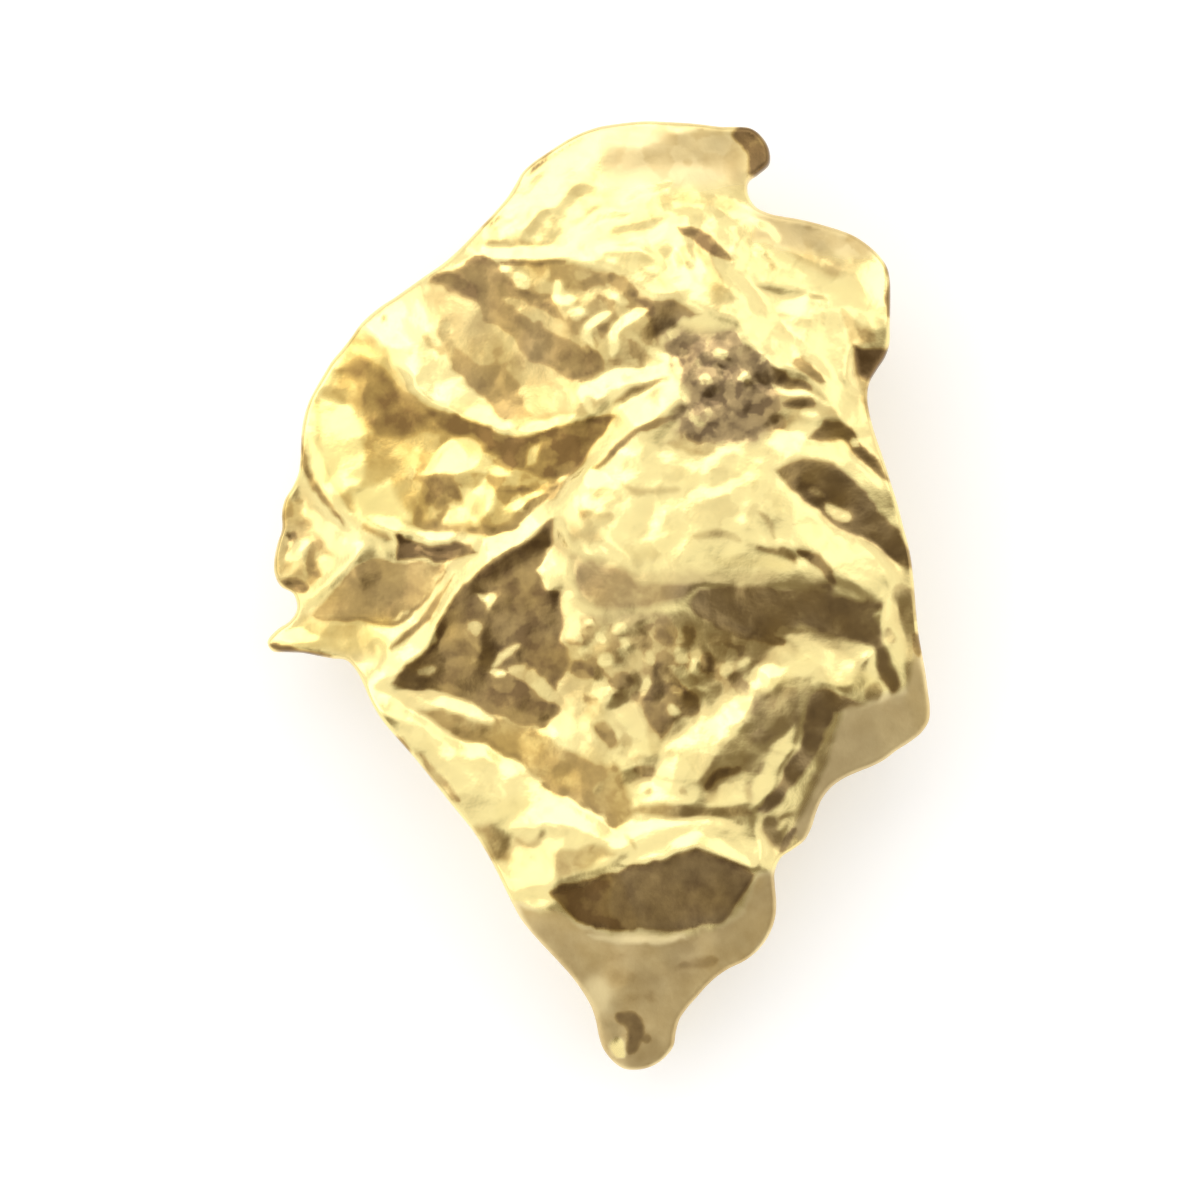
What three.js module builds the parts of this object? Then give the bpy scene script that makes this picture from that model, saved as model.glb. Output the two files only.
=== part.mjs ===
// A gold nugget: one water-worn piece of native metal, 19 mm long, lying on its back.
// Millimetres, +Z up. +Y runs from the drawn-out foot to the rounded head. Z = 0 is the surface it lies on.
// The upper side is a relief of ridges, steps and hollows, each a named line of [x, y, height].
import * as THREE from "three";

const EDGE_STEP = 0.3; // spacing of points along the edge
const LINE_STEP = 0.3; // spacing of points along a relief line
const SHOULDER_INSET = 0.2; // the edge rounds over within this width
const SHOULDER_RISE = 0.7; // share of the height that it gains there
const CLEAR_OF_EDGE = 0.16; // relief points nearer to the edge than this are left out
const CLEAR_OF_POINT = 0.09; // points nearer to another than this are left out
const BELLY_DEPTH = 2.3; // how far the back swells below the edge
const BELLY_RUN = 2.2; // distance from the edge over which it does
const BACK_GRID = 0.75; // spacing of points on the back
const BACK_WAVES = [
  // height, and radians per millimetre along X and Y, and start
  [0.1, 1.3, 0.6, 0], [0.08, -1.7, 0.9, 1],
];
const GOLD = new THREE.Color().setRGB(1.0, 0.77, 0.34);

// The widest outline, clockwise from the head, as [x, y, height above the rest plane].
const EDGE = [
  // head
  [-0.75, 9.05, 2.4], [-0.4, 9.25, 2.4], [0, 9.4, 2.4], [0.5, 9.48, 2.4], [1, 9.52, 2.4],
  [1.5, 9.5, 2.4], [2, 9.47, 2.4], [2.5, 9.42, 2.4], [3, 9.43, 2.35], [3.22, 9.33, 2.3],
  [3.4, 9.1, 2.2], [3.48, 8.85, 2.2], [3.4, 8.62, 2.2], [3.15, 8.45, 2.3], [3.03, 8.33, 2.35],
  [3, 8.15, 2.4], [3.05, 7.95, 2.5], [3.2, 7.75, 2.5],
  // right shoulder
  [3.5, 7.64, 2.4], [4, 7.56, 2.35], [4.5, 7.45, 2.3], [5, 7.3, 2.2], [5.25, 7.17, 2.15],
  [5.5, 6.97, 2.15], [5.7, 6.75, 2.15], [5.8, 6.5, 2.15], [5.82, 6, 2.15], [5.8, 5.5, 2.15],
  [5.8, 5.1, 2.15], [5.7, 4.8, 2.15], [5.5, 4.5, 2.15], [5.38, 4.25, 2.2], [5.35, 3.95, 2.2],
  // right side and heel
  [5.42, 3.55, 2.2], [5.56, 3.1, 2.2], [5.7, 2.7, 2.2], [5.82, 2.3, 2.2], [5.95, 1.9, 2.2],
  [6.07, 1.45, 2.15], [6.2, 1, 2.15], [6.28, 0.5, 2.15], [6.33, 0, 2.1], [6.38, -0.45, 2.1],
  [6.46, -0.95, 2.05], [6.55, -1.4, 2.05], [6.63, -1.9, 1.95], [6.67, -2.25, 1.9], [6.6, -2.5, 1.9],
  [6.4, -2.72, 1.9], [6, -2.98, 1.9], [5.7, -3.2, 1.9], [5.45, -3.32, 1.9], [5, -3.5, 1.9],
  [4.7, -3.7, 1.9], [4.53, -3.9, 1.9], [4.4, -4.2, 1.9], [4.27, -4.6, 1.9], [4.1, -4.85, 1.9],
  [3.85, -5, 1.8], [3.65, -5.15, 1.8], [3.55, -5.4, 1.8], [3.57, -5.75, 1.8], [3.6, -6.15, 1.75],
  [3.53, -6.5, 1.75], [3.4, -6.78, 1.7], [3.2, -7.03, 1.7], [2.9, -7.25, 1.6], [2.6, -7.4, 1.55],
  [2.3, -7.65, 1.45],
  // foot
  [2, -8, 1.4], [1.75, -8.32, 1.3], [1.62, -8.62, 1.25], [1.6, -8.92, 1.2], [1.47, -9.17, 1.2],
  [1.2, -9.4, 1.2], [0.9, -9.5, 1.2], [0.55, -9.48, 1.2], [0.3, -9.3, 1.2], [0.1, -9, 1.25],
  [0.02, -8.65, 1.3], [-0.05, -8.32, 1.3], [-0.2, -8, 1.4], [-0.5, -7.55, 1.45], [-0.87, -7.12, 1.6],
  [-1.2, -6.75, 1.7], [-1.5, -6.37, 1.75],
  // left side up to the spur
  [-1.75, -5.9, 1.8], [-2, -5.4, 1.8], [-2.2, -5.03, 1.85], [-2.45, -4.62, 1.95], [-2.7, -4.3, 2.05],
  [-3, -3.93, 2.05], [-3.3, -3.55, 2.05], [-3.62, -3.15, 2.05], [-3.9, -2.83, 2.1], [-4.2, -2.48, 2.1],
  [-4.47, -2.08, 2.1], [-4.65, -1.7, 2.1], [-4.8, -1.42, 2.05], [-5, -1.2, 2.05], [-5.4, -1.14, 1.95],
  [-5.9, -1.04, 1.9], [-6.35, -1.02, 1.9], [-6.6, -0.98, 1.9], [-6.65, -0.9, 1.9], [-6.5, -0.63, 1.9],
  [-6.2, -0.42, 1.9], [-6.04, -0.22, 1.9], [-6.03, 0.02, 1.9],
  // left knuckle and brow
  [-6.12, 0.17, 1.9], [-6.35, 0.3, 1.9], [-6.46, 0.5, 1.9], [-6.48, 0.8, 1.9], [-6.4, 1.2, 1.9],
  [-6.31, 1.5, 1.9], [-6.32, 1.78, 1.9], [-6.27, 2.02, 1.9], [-6.1, 2.3, 1.9], [-5.96, 2.6, 1.95],
  [-5.92, 3, 2.05], [-5.9, 3.4, 2.05], [-5.84, 3.75, 2.05], [-5.72, 4.1, 2.05], [-5.52, 4.45, 2.1],
  [-5.33, 4.78, 2.1], [-5, 5.17, 2.15], [-4.72, 5.55, 2.15], [-4.4, 5.84, 2.2], [-4, 6.1, 2.3],
  [-3.5, 6.43, 2.35], [-3, 6.75, 2.35], [-2.62, 7.1, 2.4], [-2.37, 7.35, 2.4], [-2, 7.73, 2.4],
  [-1.7, 8.1, 2.4], [-1.53, 8.42, 2.4], [-1.37, 8.62, 2.4], [-1.05, 8.85, 2.4],
];

// The relief of the upper side. A crest and the foot of its step run side by side.
const RELIEF = {
  head: [
    [[-0.6, 8.75, 3.15], [0.3, 9.0, 2.85], [1.3, 9.05, 2.85], [2.3, 9.0, 2.8]],
    [[-1.2, 8.15, 3.1], [-0.4, 8.15, 3.55], [0.5, 8.2, 3.65], [1.4, 8.2, 3.65], [2.2, 8.2, 3.45],
     [2.7, 8.1, 3.15]],
    [[-1.75, 7.5, 3.05], [-1.0, 7.5, 3.6], [0, 7.5, 4.0], [1, 7.45, 4.15], [2, 7.5, 3.95],
     [2.75, 7.45, 3.7]],
    [[0.5, 6.85, 4.3], [1.5, 6.75, 4.45], [2.3, 6.6, 4.5]],
  ],
  headHorn: [[[2.75, 9.2, 2.6], [3.1, 9.1, 2.4], [3.28, 8.85, 2.32], [3.12, 8.66, 2.35]]],
  headLip: [
    [[-2.35, 7.02, 2.9], [-1.8, 7.0, 3.35], [-1.2, 6.98, 3.65], [-0.6, 6.95, 3.9], [-0.1, 6.7, 4.15],
     [0.35, 6.5, 4.3], [0.8, 6.22, 4.4], [1.2, 6.02, 4.5], [1.65, 5.96, 4.58], [2.1, 5.68, 4.62],
     [2.6, 5.52, 4.68], [2.9, 5.42, 4.7]],
    [[-2.2, 6.76, 2.8], [-1.75, 6.74, 3.2], [-1.2, 6.72, 3.5], [-0.6, 6.66, 3.7], [-0.2, 6.4, 3.9]],
    [[-2.2, 6.6, 2.95], [-1.7, 6.58, 3.02], [-1.2, 6.55, 3.15], [-0.65, 6.48, 3.3], [-0.1, 6.15, 3.5],
     [0.3, 6.05, 3.6]],
    [[0.7, 5.85, 3.9], [1.15, 5.75, 4.05], [1.6, 5.65, 4.1], [2.0, 5.35, 4.1], [2.55, 5.2, 4.15],
     [2.85, 5.1, 4.15]],
  ],
  shoulderRidge: [
    [[2.75, 6.7, 4.55], [3.0, 6.0, 4.68], [3.3, 5.45, 4.7], [3.85, 4.9, 4.55], [4.4, 4.5, 4.35],
     [4.75, 4.05, 4.05], [5.02, 3.6, 3.7], [5.27, 3.1, 3.3], [5.5, 2.65, 2.95]],
    [[3.1, 5.15, 4.25], [3.6, 4.7, 4.15], [4.1, 4.2, 3.95], [4.55, 3.75, 3.8]],
  ],
  shoulder: [
    [[3.3, 7.3, 3.55], [4.1, 7.12, 3.2], [4.9, 6.85, 2.85]],
    [[3.6, 6.45, 4.25], [4.3, 6.25, 3.9], [4.9, 6.05, 3.5], [5.35, 6.2, 2.95]],
    [[4.1, 5.6, 4.3], [4.7, 5.3, 3.95], [5.2, 5.55, 3.3], [5.4, 5.15, 3.0]],
    [[4.85, 4.85, 3.75], [5.0, 4.4, 3.5], [5.08, 4.0, 3.3]],
  ],
  shoulderDimple: [[[5.1, 4.85, 2.85], [5.42, 4.83, 2.5], [5.3, 4.55, 2.5], [5.14, 4.4, 2.7]]],
  flutedPanel: [
    [[-3.2, 6.15, 2.95], [-3.0, 5.4, 3.02], [-2.85, 4.7, 3.12], [-2.4, 4.15, 3.22], [-1.9, 3.65, 3.35]],
    [[-2.4, 6.3, 2.98], [-1.6, 5.55, 3.12], [-0.9, 4.95, 3.25], [-0.3, 4.5, 3.4]],
    [[-1.5, 6.2, 3.15], [-0.8, 5.8, 3.3], [-0.2, 5.2, 3.45]],
    [[0.3, 5.6, 3.75], [0.8, 5.3, 3.85], [1.15, 5.1, 3.9]],
    [[-0.5, 3.75, 3.5], [0.1, 4.2, 3.65], [0.7, 4.6, 3.82], [1.2, 4.65, 3.9]],
    [[-3.95, 5.8, 2.55], [-3.6, 5.1, 2.75], [-3.2, 4.5, 2.95]],
  ],
  panelLip: [
    [[-4.35, 5.3, 2.45], [-4.05, 4.85, 2.6], [-3.75, 4.3, 2.78], [-3.4, 3.98, 2.92], [-2.6, 3.74, 3.15],
     [-1.85, 3.42, 3.38], [-1.3, 3.42, 3.42], [-0.7, 3.54, 3.5], [0.05, 3.72, 3.6], [0.5, 3.98, 3.7]],
    [[-4.48, 5.02, 2.1], [-4.25, 4.6, 2.12], [-3.98, 4.1, 2.18], [-3.55, 3.78, 2.35], [-2.7, 3.52, 2.6],
     [-1.95, 3.2, 2.8], [-1.25, 3.18, 2.88], [-0.65, 3.3, 2.98], [0.05, 3.5, 3.15], [0.4, 3.72, 3.4]],
  ],
  leftPocket: [
    [[-4.65, 4.35, 2.02], [-4.3, 3.75, 2.0], [-3.8, 3.3, 2.15], [-3.2, 3.35, 2.4]],
    [[-4.15, 2.75, 2.22], [-3.85, 2.1, 2.42], [-3.75, 1.65, 2.65]],
    [[-1.6, 2.9, 2.9], [-0.9, 2.85, 2.98], [-0.4, 3.05, 3.08]],
  ],
  browRidge: [
    [[-5.15, 4.82, 2.35], [-5.38, 4.3, 2.48], [-5.58, 3.8, 2.58], [-5.64, 3.3, 2.64], [-5.52, 2.7, 2.7],
     [-5.28, 2.15, 2.75], [-4.92, 1.7, 2.8]],
    [[-4.95, 4.35, 2.1], [-4.85, 3.6, 2.1], [-4.75, 2.9, 2.2], [-4.5, 2.2, 2.42]],
  ],
  fin: [
    [[-3.55, 2.42, 2.72], [-3.1, 2.52, 2.95], [-2.5, 2.54, 3.05], [-1.95, 2.46, 3.08],
     [-1.5, 2.4, 3.12], [-1.1, 2.36, 3.2]],
    [[-3.35, 2.85, 2.5], [-3.0, 3.15, 2.55], [-2.5, 3.2, 2.65], [-2.0, 2.88, 2.75], [-1.5, 2.65, 2.95]],
    [[-3.4, 2.2, 2.62], [-2.9, 2.15, 2.72], [-2.35, 2.1, 2.98], [-1.75, 2.0, 3.05], [-1.3, 2.05, 3.3]],
    [[-3.1, 1.6, 2.85], [-2.4, 1.55, 2.95], [-1.75, 1.65, 3.15]],
  ],
  ledge: [
    [[-4.75, 1.62, 2.78], [-4.35, 1.52, 2.88], [-3.95, 1.36, 2.95], [-3.5, 1.2, 3.0], [-2.9, 1.2, 3.05],
     [-2.45, 1.27, 3.15]],
    [[-4.55, 1.36, 2.45], [-4.05, 1.13, 2.42], [-3.5, 0.97, 2.48], [-2.95, 0.95, 2.6],
     [-2.55, 1.0, 2.85]],
  ],
  leaf: [
    [[-5.55, -0.12, 2.08], [-5.15, 0.25, 2.22], [-4.75, 0.62, 2.32], [-4.25, 0.9, 2.38],
     [-3.8, 0.78, 2.42], [-3.15, 0.7, 2.52]],
    [[-3.5, 0.45, 2.44], [-3.85, 0.06, 2.36], [-4.22, -0.26, 2.26], [-4.6, -0.32, 2.2],
     [-5.05, -0.3, 2.14]],
    [[-5.72, 0.12, 2.2], [-5.32, 0.5, 2.42], [-4.9, 0.88, 2.56], [-4.6, 1.12, 2.6]],
  ],
  leftKnuckle: [
    [[-6.12, 0.6, 2.0], [-6.0, 1.1, 2.12], [-5.95, 1.7, 2.12], [-5.75, 2.3, 2.15]],
    [[-5.6, 0.95, 2.4], [-5.35, 1.45, 2.6]],
  ],
  spur: [
    [[-6.3, -0.8, 2.0], [-5.85, -0.6, 2.12], [-5.3, -0.6, 2.18], [-4.75, -0.62, 2.32],
     [-4.25, -0.72, 2.45]],
    [[-5.0, -0.95, 1.95], [-4.5, -1.2, 2.2]],
  ],
  spineTop: [
    [[1.5, 4.25, 4.1], [0.95, 4.05, 3.95], [0.6, 3.72, 3.85], [0.42, 3.38, 3.8], [0.05, 3.08, 3.75],
     [-0.3, 2.82, 3.75]],
    [[1.65, 3.88, 4.3], [1.2, 3.55, 4.3], [0.65, 3.22, 4.25], [0.2, 2.95, 4.2], [-0.15, 2.74, 4.12]],
    [[0.75, 4.25, 3.72], [0.5, 4.05, 3.55], [0.25, 3.45, 3.4], [-0.1, 3.2, 3.35], [-0.5, 2.75, 3.4],
     [-0.8, 2.45, 3.5]],
  ],
  spine: [
    [[-0.35, 2.45, 4.12], [-0.65, 2.05, 4.02], [-1.05, 1.62, 3.92], [-1.6, 1.12, 3.78],
     [-2.2, 0.75, 3.62], [-2.65, 0.35, 3.48], [-3.0, -0.05, 3.34], [-3.16, -0.5, 3.24],
     [-3.4, -0.9, 3.14], [-3.8, -1.3, 3.0], [-4.08, -1.68, 2.86]],
    [[-0.85, 2.2, 3.78], [-1.25, 1.85, 3.68], [-1.7, 1.42, 3.56]],
    [[-0.92, 1.38, 3.45], [-1.5, 0.92, 3.0], [-2.08, 0.55, 2.75], [-2.52, 0.18, 2.6],
     [-2.85, -0.2, 2.52], [-2.98, -0.6, 2.5], [-3.22, -1.05, 2.5], [-3.62, -1.45, 2.52],
     [-3.88, -1.72, 2.6]],
  ],
  upperRail: [
    [[-2.1, 1.15, 3.38], [-2.6, 0.82, 3.2], [-3.0, 0.48, 3.05], [-3.5, 0.0, 2.86], [-3.92, -0.38, 2.68],
     [-4.3, -0.6, 2.52]],
    [[-2.78, 0.38, 3.12], [-3.2, 0.0, 2.95], [-3.55, -0.42, 2.78], [-3.85, -0.85, 2.75]],
  ],
  centreHollow: [
    [[-1.75, 0.15, 2.6], [-2.3, -0.6, 2.42], [-2.85, -1.3, 2.4]],
    [[-1.25, -0.3, 2.66], [-1.55, -1.1, 2.56], [-2.1, -1.7, 2.42], [-1.2, -2.15, 2.52]],
    [[-3.4, -1.84, 2.45], [-2.5, -2.05, 2.38], [-1.7, -2.28, 2.42], [-1.0, -2.4, 2.52]],
    [[-4.0, -1.92, 2.75], [-3.4, -2.0, 2.7], [-2.5, -2.22, 2.7], [-1.7, -2.46, 2.76],
     [-0.95, -2.62, 2.88]],
  ],
  hollowWall: [
    [[-0.72, 1.5, 4.0], [-0.58, 0.95, 3.85], [-0.32, 0.35, 3.75], [-0.25, -0.3, 3.45],
     [-0.3, -0.85, 3.2]],
    [[-1.1, 0.75, 3.0], [-0.95, 0.1, 2.85], [-0.85, -0.6, 2.78], [-0.75, -1.3, 2.7],
     [-0.75, -2.0, 2.75]],
  ],
  paleDome: [
    [[0.05, 2.5, 4.05], [0.5, 2.98, 4.0], [1.4, 3.2, 4.02], [2.4, 3.05, 4.08], [3.0, 3.05, 4.1],
     [3.4, 2.78, 4.15]],
    [[0.4, 2.1, 4.28], [1.5, 2.2, 4.38], [2.7, 2.1, 4.48], [3.5, 2.0, 4.42]],
    [[-0.25, 1.5, 4.28], [0.6, 1.25, 4.52], [1.9, 1.0, 4.74], [3.0, 0.95, 4.82], [3.8, 0.95, 4.76]],
    [[-0.1, 0.7, 4.05], [0.6, 0.55, 4.3], [1.4, 0.5, 4.5], [2.3, 0.5, 4.62], [3.0, 0.48, 4.68],
     [3.6, 0.45, 4.62], [4.2, 0.5, 4.5]],
    [[0.1, 0.0, 3.85], [0.7, -0.1, 3.92], [1.3, 0.1, 4.1], [1.75, 0.25, 4.25]],
    [[3.5, 2.6, 4.22], [3.95, 2.1, 4.32], [4.6, 1.5, 4.22], [5.2, 1.08, 3.95], [5.75, 0.62, 3.52],
     [6.0, 0.1, 3.0]],
    [[4.7, 0.3, 4.25], [5.2, 0.12, 4.0], [5.65, 0.05, 3.65]],
  ],
  crescents: [
    [[3.7, 2.5, 3.95], [4.2, 2.42, 3.82], [4.8, 2.15, 3.68], [5.2, 1.7, 3.56], [5.65, 1.22, 3.35],
     [5.98, 0.85, 3.0]],
    [[4.0, 2.88, 4.08], [4.5, 2.9, 4.02], [4.95, 2.68, 3.88], [5.4, 2.2, 3.6], [5.8, 1.68, 3.15]],
    [[4.15, 3.28, 3.72], [4.7, 3.38, 3.62], [5.1, 3.05, 3.45], [5.45, 2.6, 3.15]],
  ],
  grainPatch: [
    [[1.5, 5.15, 4.15], [1.75, 4.85, 3.75], [1.6, 4.5, 4.1], [1.9, 4.2, 3.75], [1.95, 3.85, 4.05],
     [1.9, 3.45, 3.75]],
    [[2.15, 5.0, 3.85], [2.4, 4.8, 4.15], [2.3, 4.45, 3.72], [2.45, 4.1, 4.1], [2.25, 3.75, 3.72],
     [2.4, 3.4, 3.98]],
    [[3.05, 4.75, 4.15], [2.85, 4.4, 4.18], [3.05, 4.1, 3.72], [2.8, 3.75, 3.75], [3.05, 3.5, 4.1]],
    [[3.55, 4.3, 3.75], [3.5, 3.85, 4.0], [3.75, 3.5, 3.7]],
  ],
  darkShelf: [
    [[1.95, 0.22, 3.9], [2.4, 0.28, 3.88], [3.0, 0.28, 3.88], [3.6, 0.25, 3.86], [4.2, 0.22, 3.82],
     [4.75, 0.0, 3.74], [5.35, -0.12, 3.6], [5.6, -0.5, 3.42], [5.8, -1.1, 3.1], [5.85, -1.6, 2.9]],
    [[1.85, -0.2, 3.82], [2.3, -0.48, 3.78], [3.0, -0.62, 3.76], [3.8, -0.5, 3.72], [4.6, -0.72, 3.62],
     [5.3, -0.85, 3.38], [5.6, -1.6, 2.95]],
  ],
  jumble: [
    [[0.3, -0.5, 3.62], [1.3, -0.5, 3.72]],
    [[-0.2, -1.1, 3.15], [0.3, -0.85, 3.5], [0.7, -1.15, 3.2], [1.2, -0.85, 3.62], [1.6, -1.2, 3.35],
     [2.05, -1.0, 3.7], [2.5, -1.25, 3.45], [3.1, -1.0, 3.6], [3.6, -1.25, 3.4], [4.2, -1.0, 3.78],
     [5.0, -1.35, 3.5]],
    [[-0.4, -1.9, 2.9], [0.25, -1.75, 3.3], [0.65, -2.15, 3.4], [1.1, -1.95, 2.95], [1.5, -1.65, 3.1],
     [2.0, -1.9, 3.62], [2.6, -1.6, 3.35], [3.3, -1.6, 3.72], [4.0, -1.7, 3.4], [5.1, -1.7, 3.3]],
    [[-0.55, -2.8, 3.0], [0.1, -2.5, 3.0], [0.6, -2.75, 3.35], [1.1, -2.75, 3.0], [1.6, -2.6, 3.5],
     [2.2, -2.4, 3.7], [2.9, -2.3, 3.3], [3.35, -2.45, 3.2], [3.8, -2.1, 3.5]],
    [[0.7, -3.5, 3.2], [1.25, -3.2, 3.55], [1.7, -3.55, 3.3], [2.2, -3.15, 3.5], [2.6, -3.45, 3.1],
     [3.05, -3.75, 3.5], [3.4, -3.3, 3.62], [3.8, -2.65, 3.62]],
    [[0.8, -3.95, 3.1], [1.8, -4.0, 3.2], [2.8, -4.0, 3.15]],
  ],
  darkGash: [
    [[4.45, -1.85, 3.0], [4.4, -2.4, 2.9], [4.25, -2.85, 2.82], [3.9, -3.4, 2.78], [3.5, -3.9, 2.82],
     [3.35, -4.3, 2.85], [3.55, -4.8, 2.5]],
    [[5.25, -2.05, 3.28], [4.8, -2.3, 3.22], [4.62, -2.8, 3.05], [4.3, -3.35, 2.9], [3.95, -3.85, 2.8]],
  ],
  heel: [
    [[6.1, -0.5, 2.75], [6.12, -1.2, 2.72], [6.1, -1.8, 2.7], [5.6, -2.0, 3.08]],
    [[6.2, -2.35, 2.2], [5.5, -2.65, 2.65], [4.95, -3.15, 2.45], [4.4, -3.75, 2.3], [3.95, -4.4, 2.35]],
  ],
  tanStrip: [
    [[-3.2, -2.42, 2.58], [-2.6, -2.72, 2.6], [-2.0, -3.05, 2.64], [-1.15, -3.55, 2.7],
     [-0.6, -3.85, 2.75], [0.0, -4.15, 2.82], [0.35, -4.4, 2.88]],
    [[-0.8, -2.85, 2.9], [0, -3.15, 3.0], [0.55, -3.6, 3.05], [0.65, -4.1, 3.05]],
  ],
  lowRidge: [
    [[-3.5, -2.38, 2.78], [-2.85, -2.85, 2.86], [-2.2, -3.15, 2.92], [-1.5, -3.55, 3.0],
     [-0.9, -3.88, 3.06], [-0.3, -4.22, 3.12], [0.25, -4.62, 3.2], [0.65, -4.85, 3.3]],
    [[-3.1, -3.05, 2.42], [-2.6, -3.6, 2.42], [-2.1, -4.15, 2.42], [-1.55, -4.65, 2.5],
     [-1.35, -5.3, 2.5]],
    [[-1.5, -4.1, 2.82], [-0.9, -4.5, 2.95], [-0.35, -4.95, 3.08], [-0.4, -5.35, 3.0]],
  ],
  mouthBrow: [
    [[0.85, -4.35, 3.15], [1.4, -4.28, 3.2], [2.0, -4.22, 3.2], [2.7, -4.3, 3.1], [3.1, -4.5, 2.98]],
    [[-0.95, -5.62, 2.88], [-0.4, -5.48, 3.06], [0.2, -5.42, 3.2], [0.65, -5.13, 3.38],
     [1.0, -5.12, 3.45], [1.5, -4.98, 3.55], [1.95, -4.78, 3.6], [2.5, -5.03, 3.52], [3.05, -5.3, 3.3]],
  ],
  mouth: [
    [[-0.7, -5.86, 2.6], [-0.25, -5.72, 2.64], [0.3, -5.66, 2.7], [0.75, -5.38, 2.76],
     [1.5, -5.22, 2.8], [1.97, -5.02, 2.82], [2.5, -5.28, 2.82], [2.9, -5.52, 2.8]],
    [[2.72, -5.95, 2.76], [2.2, -6.25, 2.72], [1.2, -6.42, 2.66], [0.3, -6.38, 2.62],
     [-0.3, -6.15, 2.58]],
    [[0.4, -6.0, 2.64], [1.3, -5.85, 2.74], [2.1, -5.75, 2.78]],
  ],
  mouthLip: [
    [[-1.1, -5.88, 2.6], [-0.75, -6.12, 2.6], [-0.4, -6.36, 2.62], [0.2, -6.58, 2.66],
     [1.2, -6.66, 2.7], [2.25, -6.5, 2.76], [2.82, -6.15, 2.8], [3.05, -5.8, 2.84], [3.2, -5.5, 2.86]],
  ],
  foot: [
    [[-1.2, -6.25, 2.35], [-0.7, -6.85, 2.3], [0.2, -7.2, 2.4], [1.2, -7.3, 2.42], [2.2, -7.05, 2.45],
     [2.9, -6.75, 2.4], [3.28, -6.2, 2.5]],
    [[0.05, -7.85, 2.05], [0.8, -7.9, 2.12], [1.5, -7.75, 2.1]],
    [[0.35, -8.4, 1.85], [1.1, -8.4, 1.88]],
    [[0.38, -8.98, 1.6], [1.0, -9.1, 1.45], [1.3, -8.85, 1.5]],
  ],
  footPit: [[[0.52, -8.3, 1.5], [0.78, -8.5, 1.35], [0.85, -8.8, 1.3], [0.68, -9.08, 1.35]]],
};

// Dents in the back: centre, half length, half width, turn in degrees, depth.
const BACK_DENTS = [
  [-3.6, 2.2, 1.6, 0.8, 35, 0.8], [-2.2, 5.6, 1.4, 0.7, -40, 0.7], [0.9, 7.6, 1.5, 0.7, 10, 0.65],
  [3.9, 5.0, 1.4, 0.8, -60, 0.75], [4.4, 0.6, 0.8, 1.6, 8, 0.6], [0.9, 3.1, 1.7, 0.6, 28, 0.75],
  [-2.1, -1.9, 1.5, 0.6, -38, 0.7], [2.7, -2.8, 1.3, 0.7, 25, 0.6], [0.9, -6.0, 0.7, 1.4, 5, 0.45],
];

const flat = (p, q) => Math.hypot(p[0] - q[0], p[1] - q[1]);

// Points along a smooth curve through the given ones, at about the given spacing.
function curve(points, step, closed = false) {
  const places = points.map((p) => new THREE.Vector3(...p));
  const path = new THREE.CatmullRomCurve3(places, closed, "centripetal");
  const count = Math.max(1, Math.round(path.getLength() / step));
  const made = path.getSpacedPoints(count).map((v) => v.toArray());
  return closed ? made.slice(0, -1) : made;
}

function inside(p, loop) {
  let odd = false;
  loop.forEach((a, i) => {
    const b = loop[(i + 1) % loop.length];
    const crosses = a[1] > p[1] !== b[1] > p[1];
    if (crosses && p[0] < ((b[0] - a[0]) * (p[1] - a[1])) / (b[1] - a[1]) + a[0]) odd = !odd;
  });
  return odd;
}

function distanceToEdge(p, loop) {
  return loop.reduce((least, a, i) => {
    const b = loop[(i + 1) % loop.length];
    const [ux, uy] = [b[0] - a[0], b[1] - a[1]];
    const along = ((p[0] - a[0]) * ux + (p[1] - a[1]) * uy) / (ux * ux + uy * uy);
    const t = THREE.MathUtils.clamp(along, 0, 1);
    return Math.min(least, Math.hypot(a[0] + ux * t - p[0], a[1] + uy * t - p[1]));
  }, Infinity);
}

function wellInside(points, loop, clear) {
  return points.filter((p) => inside(p, loop) && distanceToEdge(p, loop) > clear);
}

// The height that nearby points agree on, the nearest counting most.
function heightFrom(p, points) {
  let sum = 0;
  let weights = 0;
  for (const q of points) {
    const weight = 1 / (flat(p, q) ** 4 + 1e-6);
    sum += weight * q[2];
    weights += weight;
  }
  return sum / weights;
}

// Adds those of more that keep clear of the points there already.
function addClear(points, more, gap) {
  for (const p of more) if (points.every((q) => flat(p, q) > gap)) points.push(p);
}

// Points a little in from the edge, where the edge has room for them.
function shoulder(loop, inset, heightAt) {
  return loop
    .map((p, i) => {
      const before = loop[(i + loop.length - 1) % loop.length];
      const after = loop[(i + 1) % loop.length];
      const [tx, ty] = [after[0] - before[0], after[1] - before[1]];
      const length = Math.hypot(tx, ty);
      return [p[0] + (ty / length) * inset, p[1] - (tx / length) * inset, p[2]];
    })
    .filter((p) => inside(p, loop) && distanceToEdge(p, loop) > inset * 0.85)
    .map((p) => [p[0], p[1], heightAt(p)]);
}

function upperPoints(loop) {
  const relief = [];
  for (const lines of Object.values(RELIEF)) {
    for (const line of lines) {
      addClear(relief, wellInside(curve(line, LINE_STEP), loop, CLEAR_OF_EDGE), CLEAR_OF_POINT);
    }
  }
  const rise = (p) => p[2] + (heightFrom(p, relief) - p[2]) * SHOULDER_RISE;
  addClear(relief, shoulder(loop, SHOULDER_INSET, rise), SHOULDER_INSET * 0.7);
  return relief;
}

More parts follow.
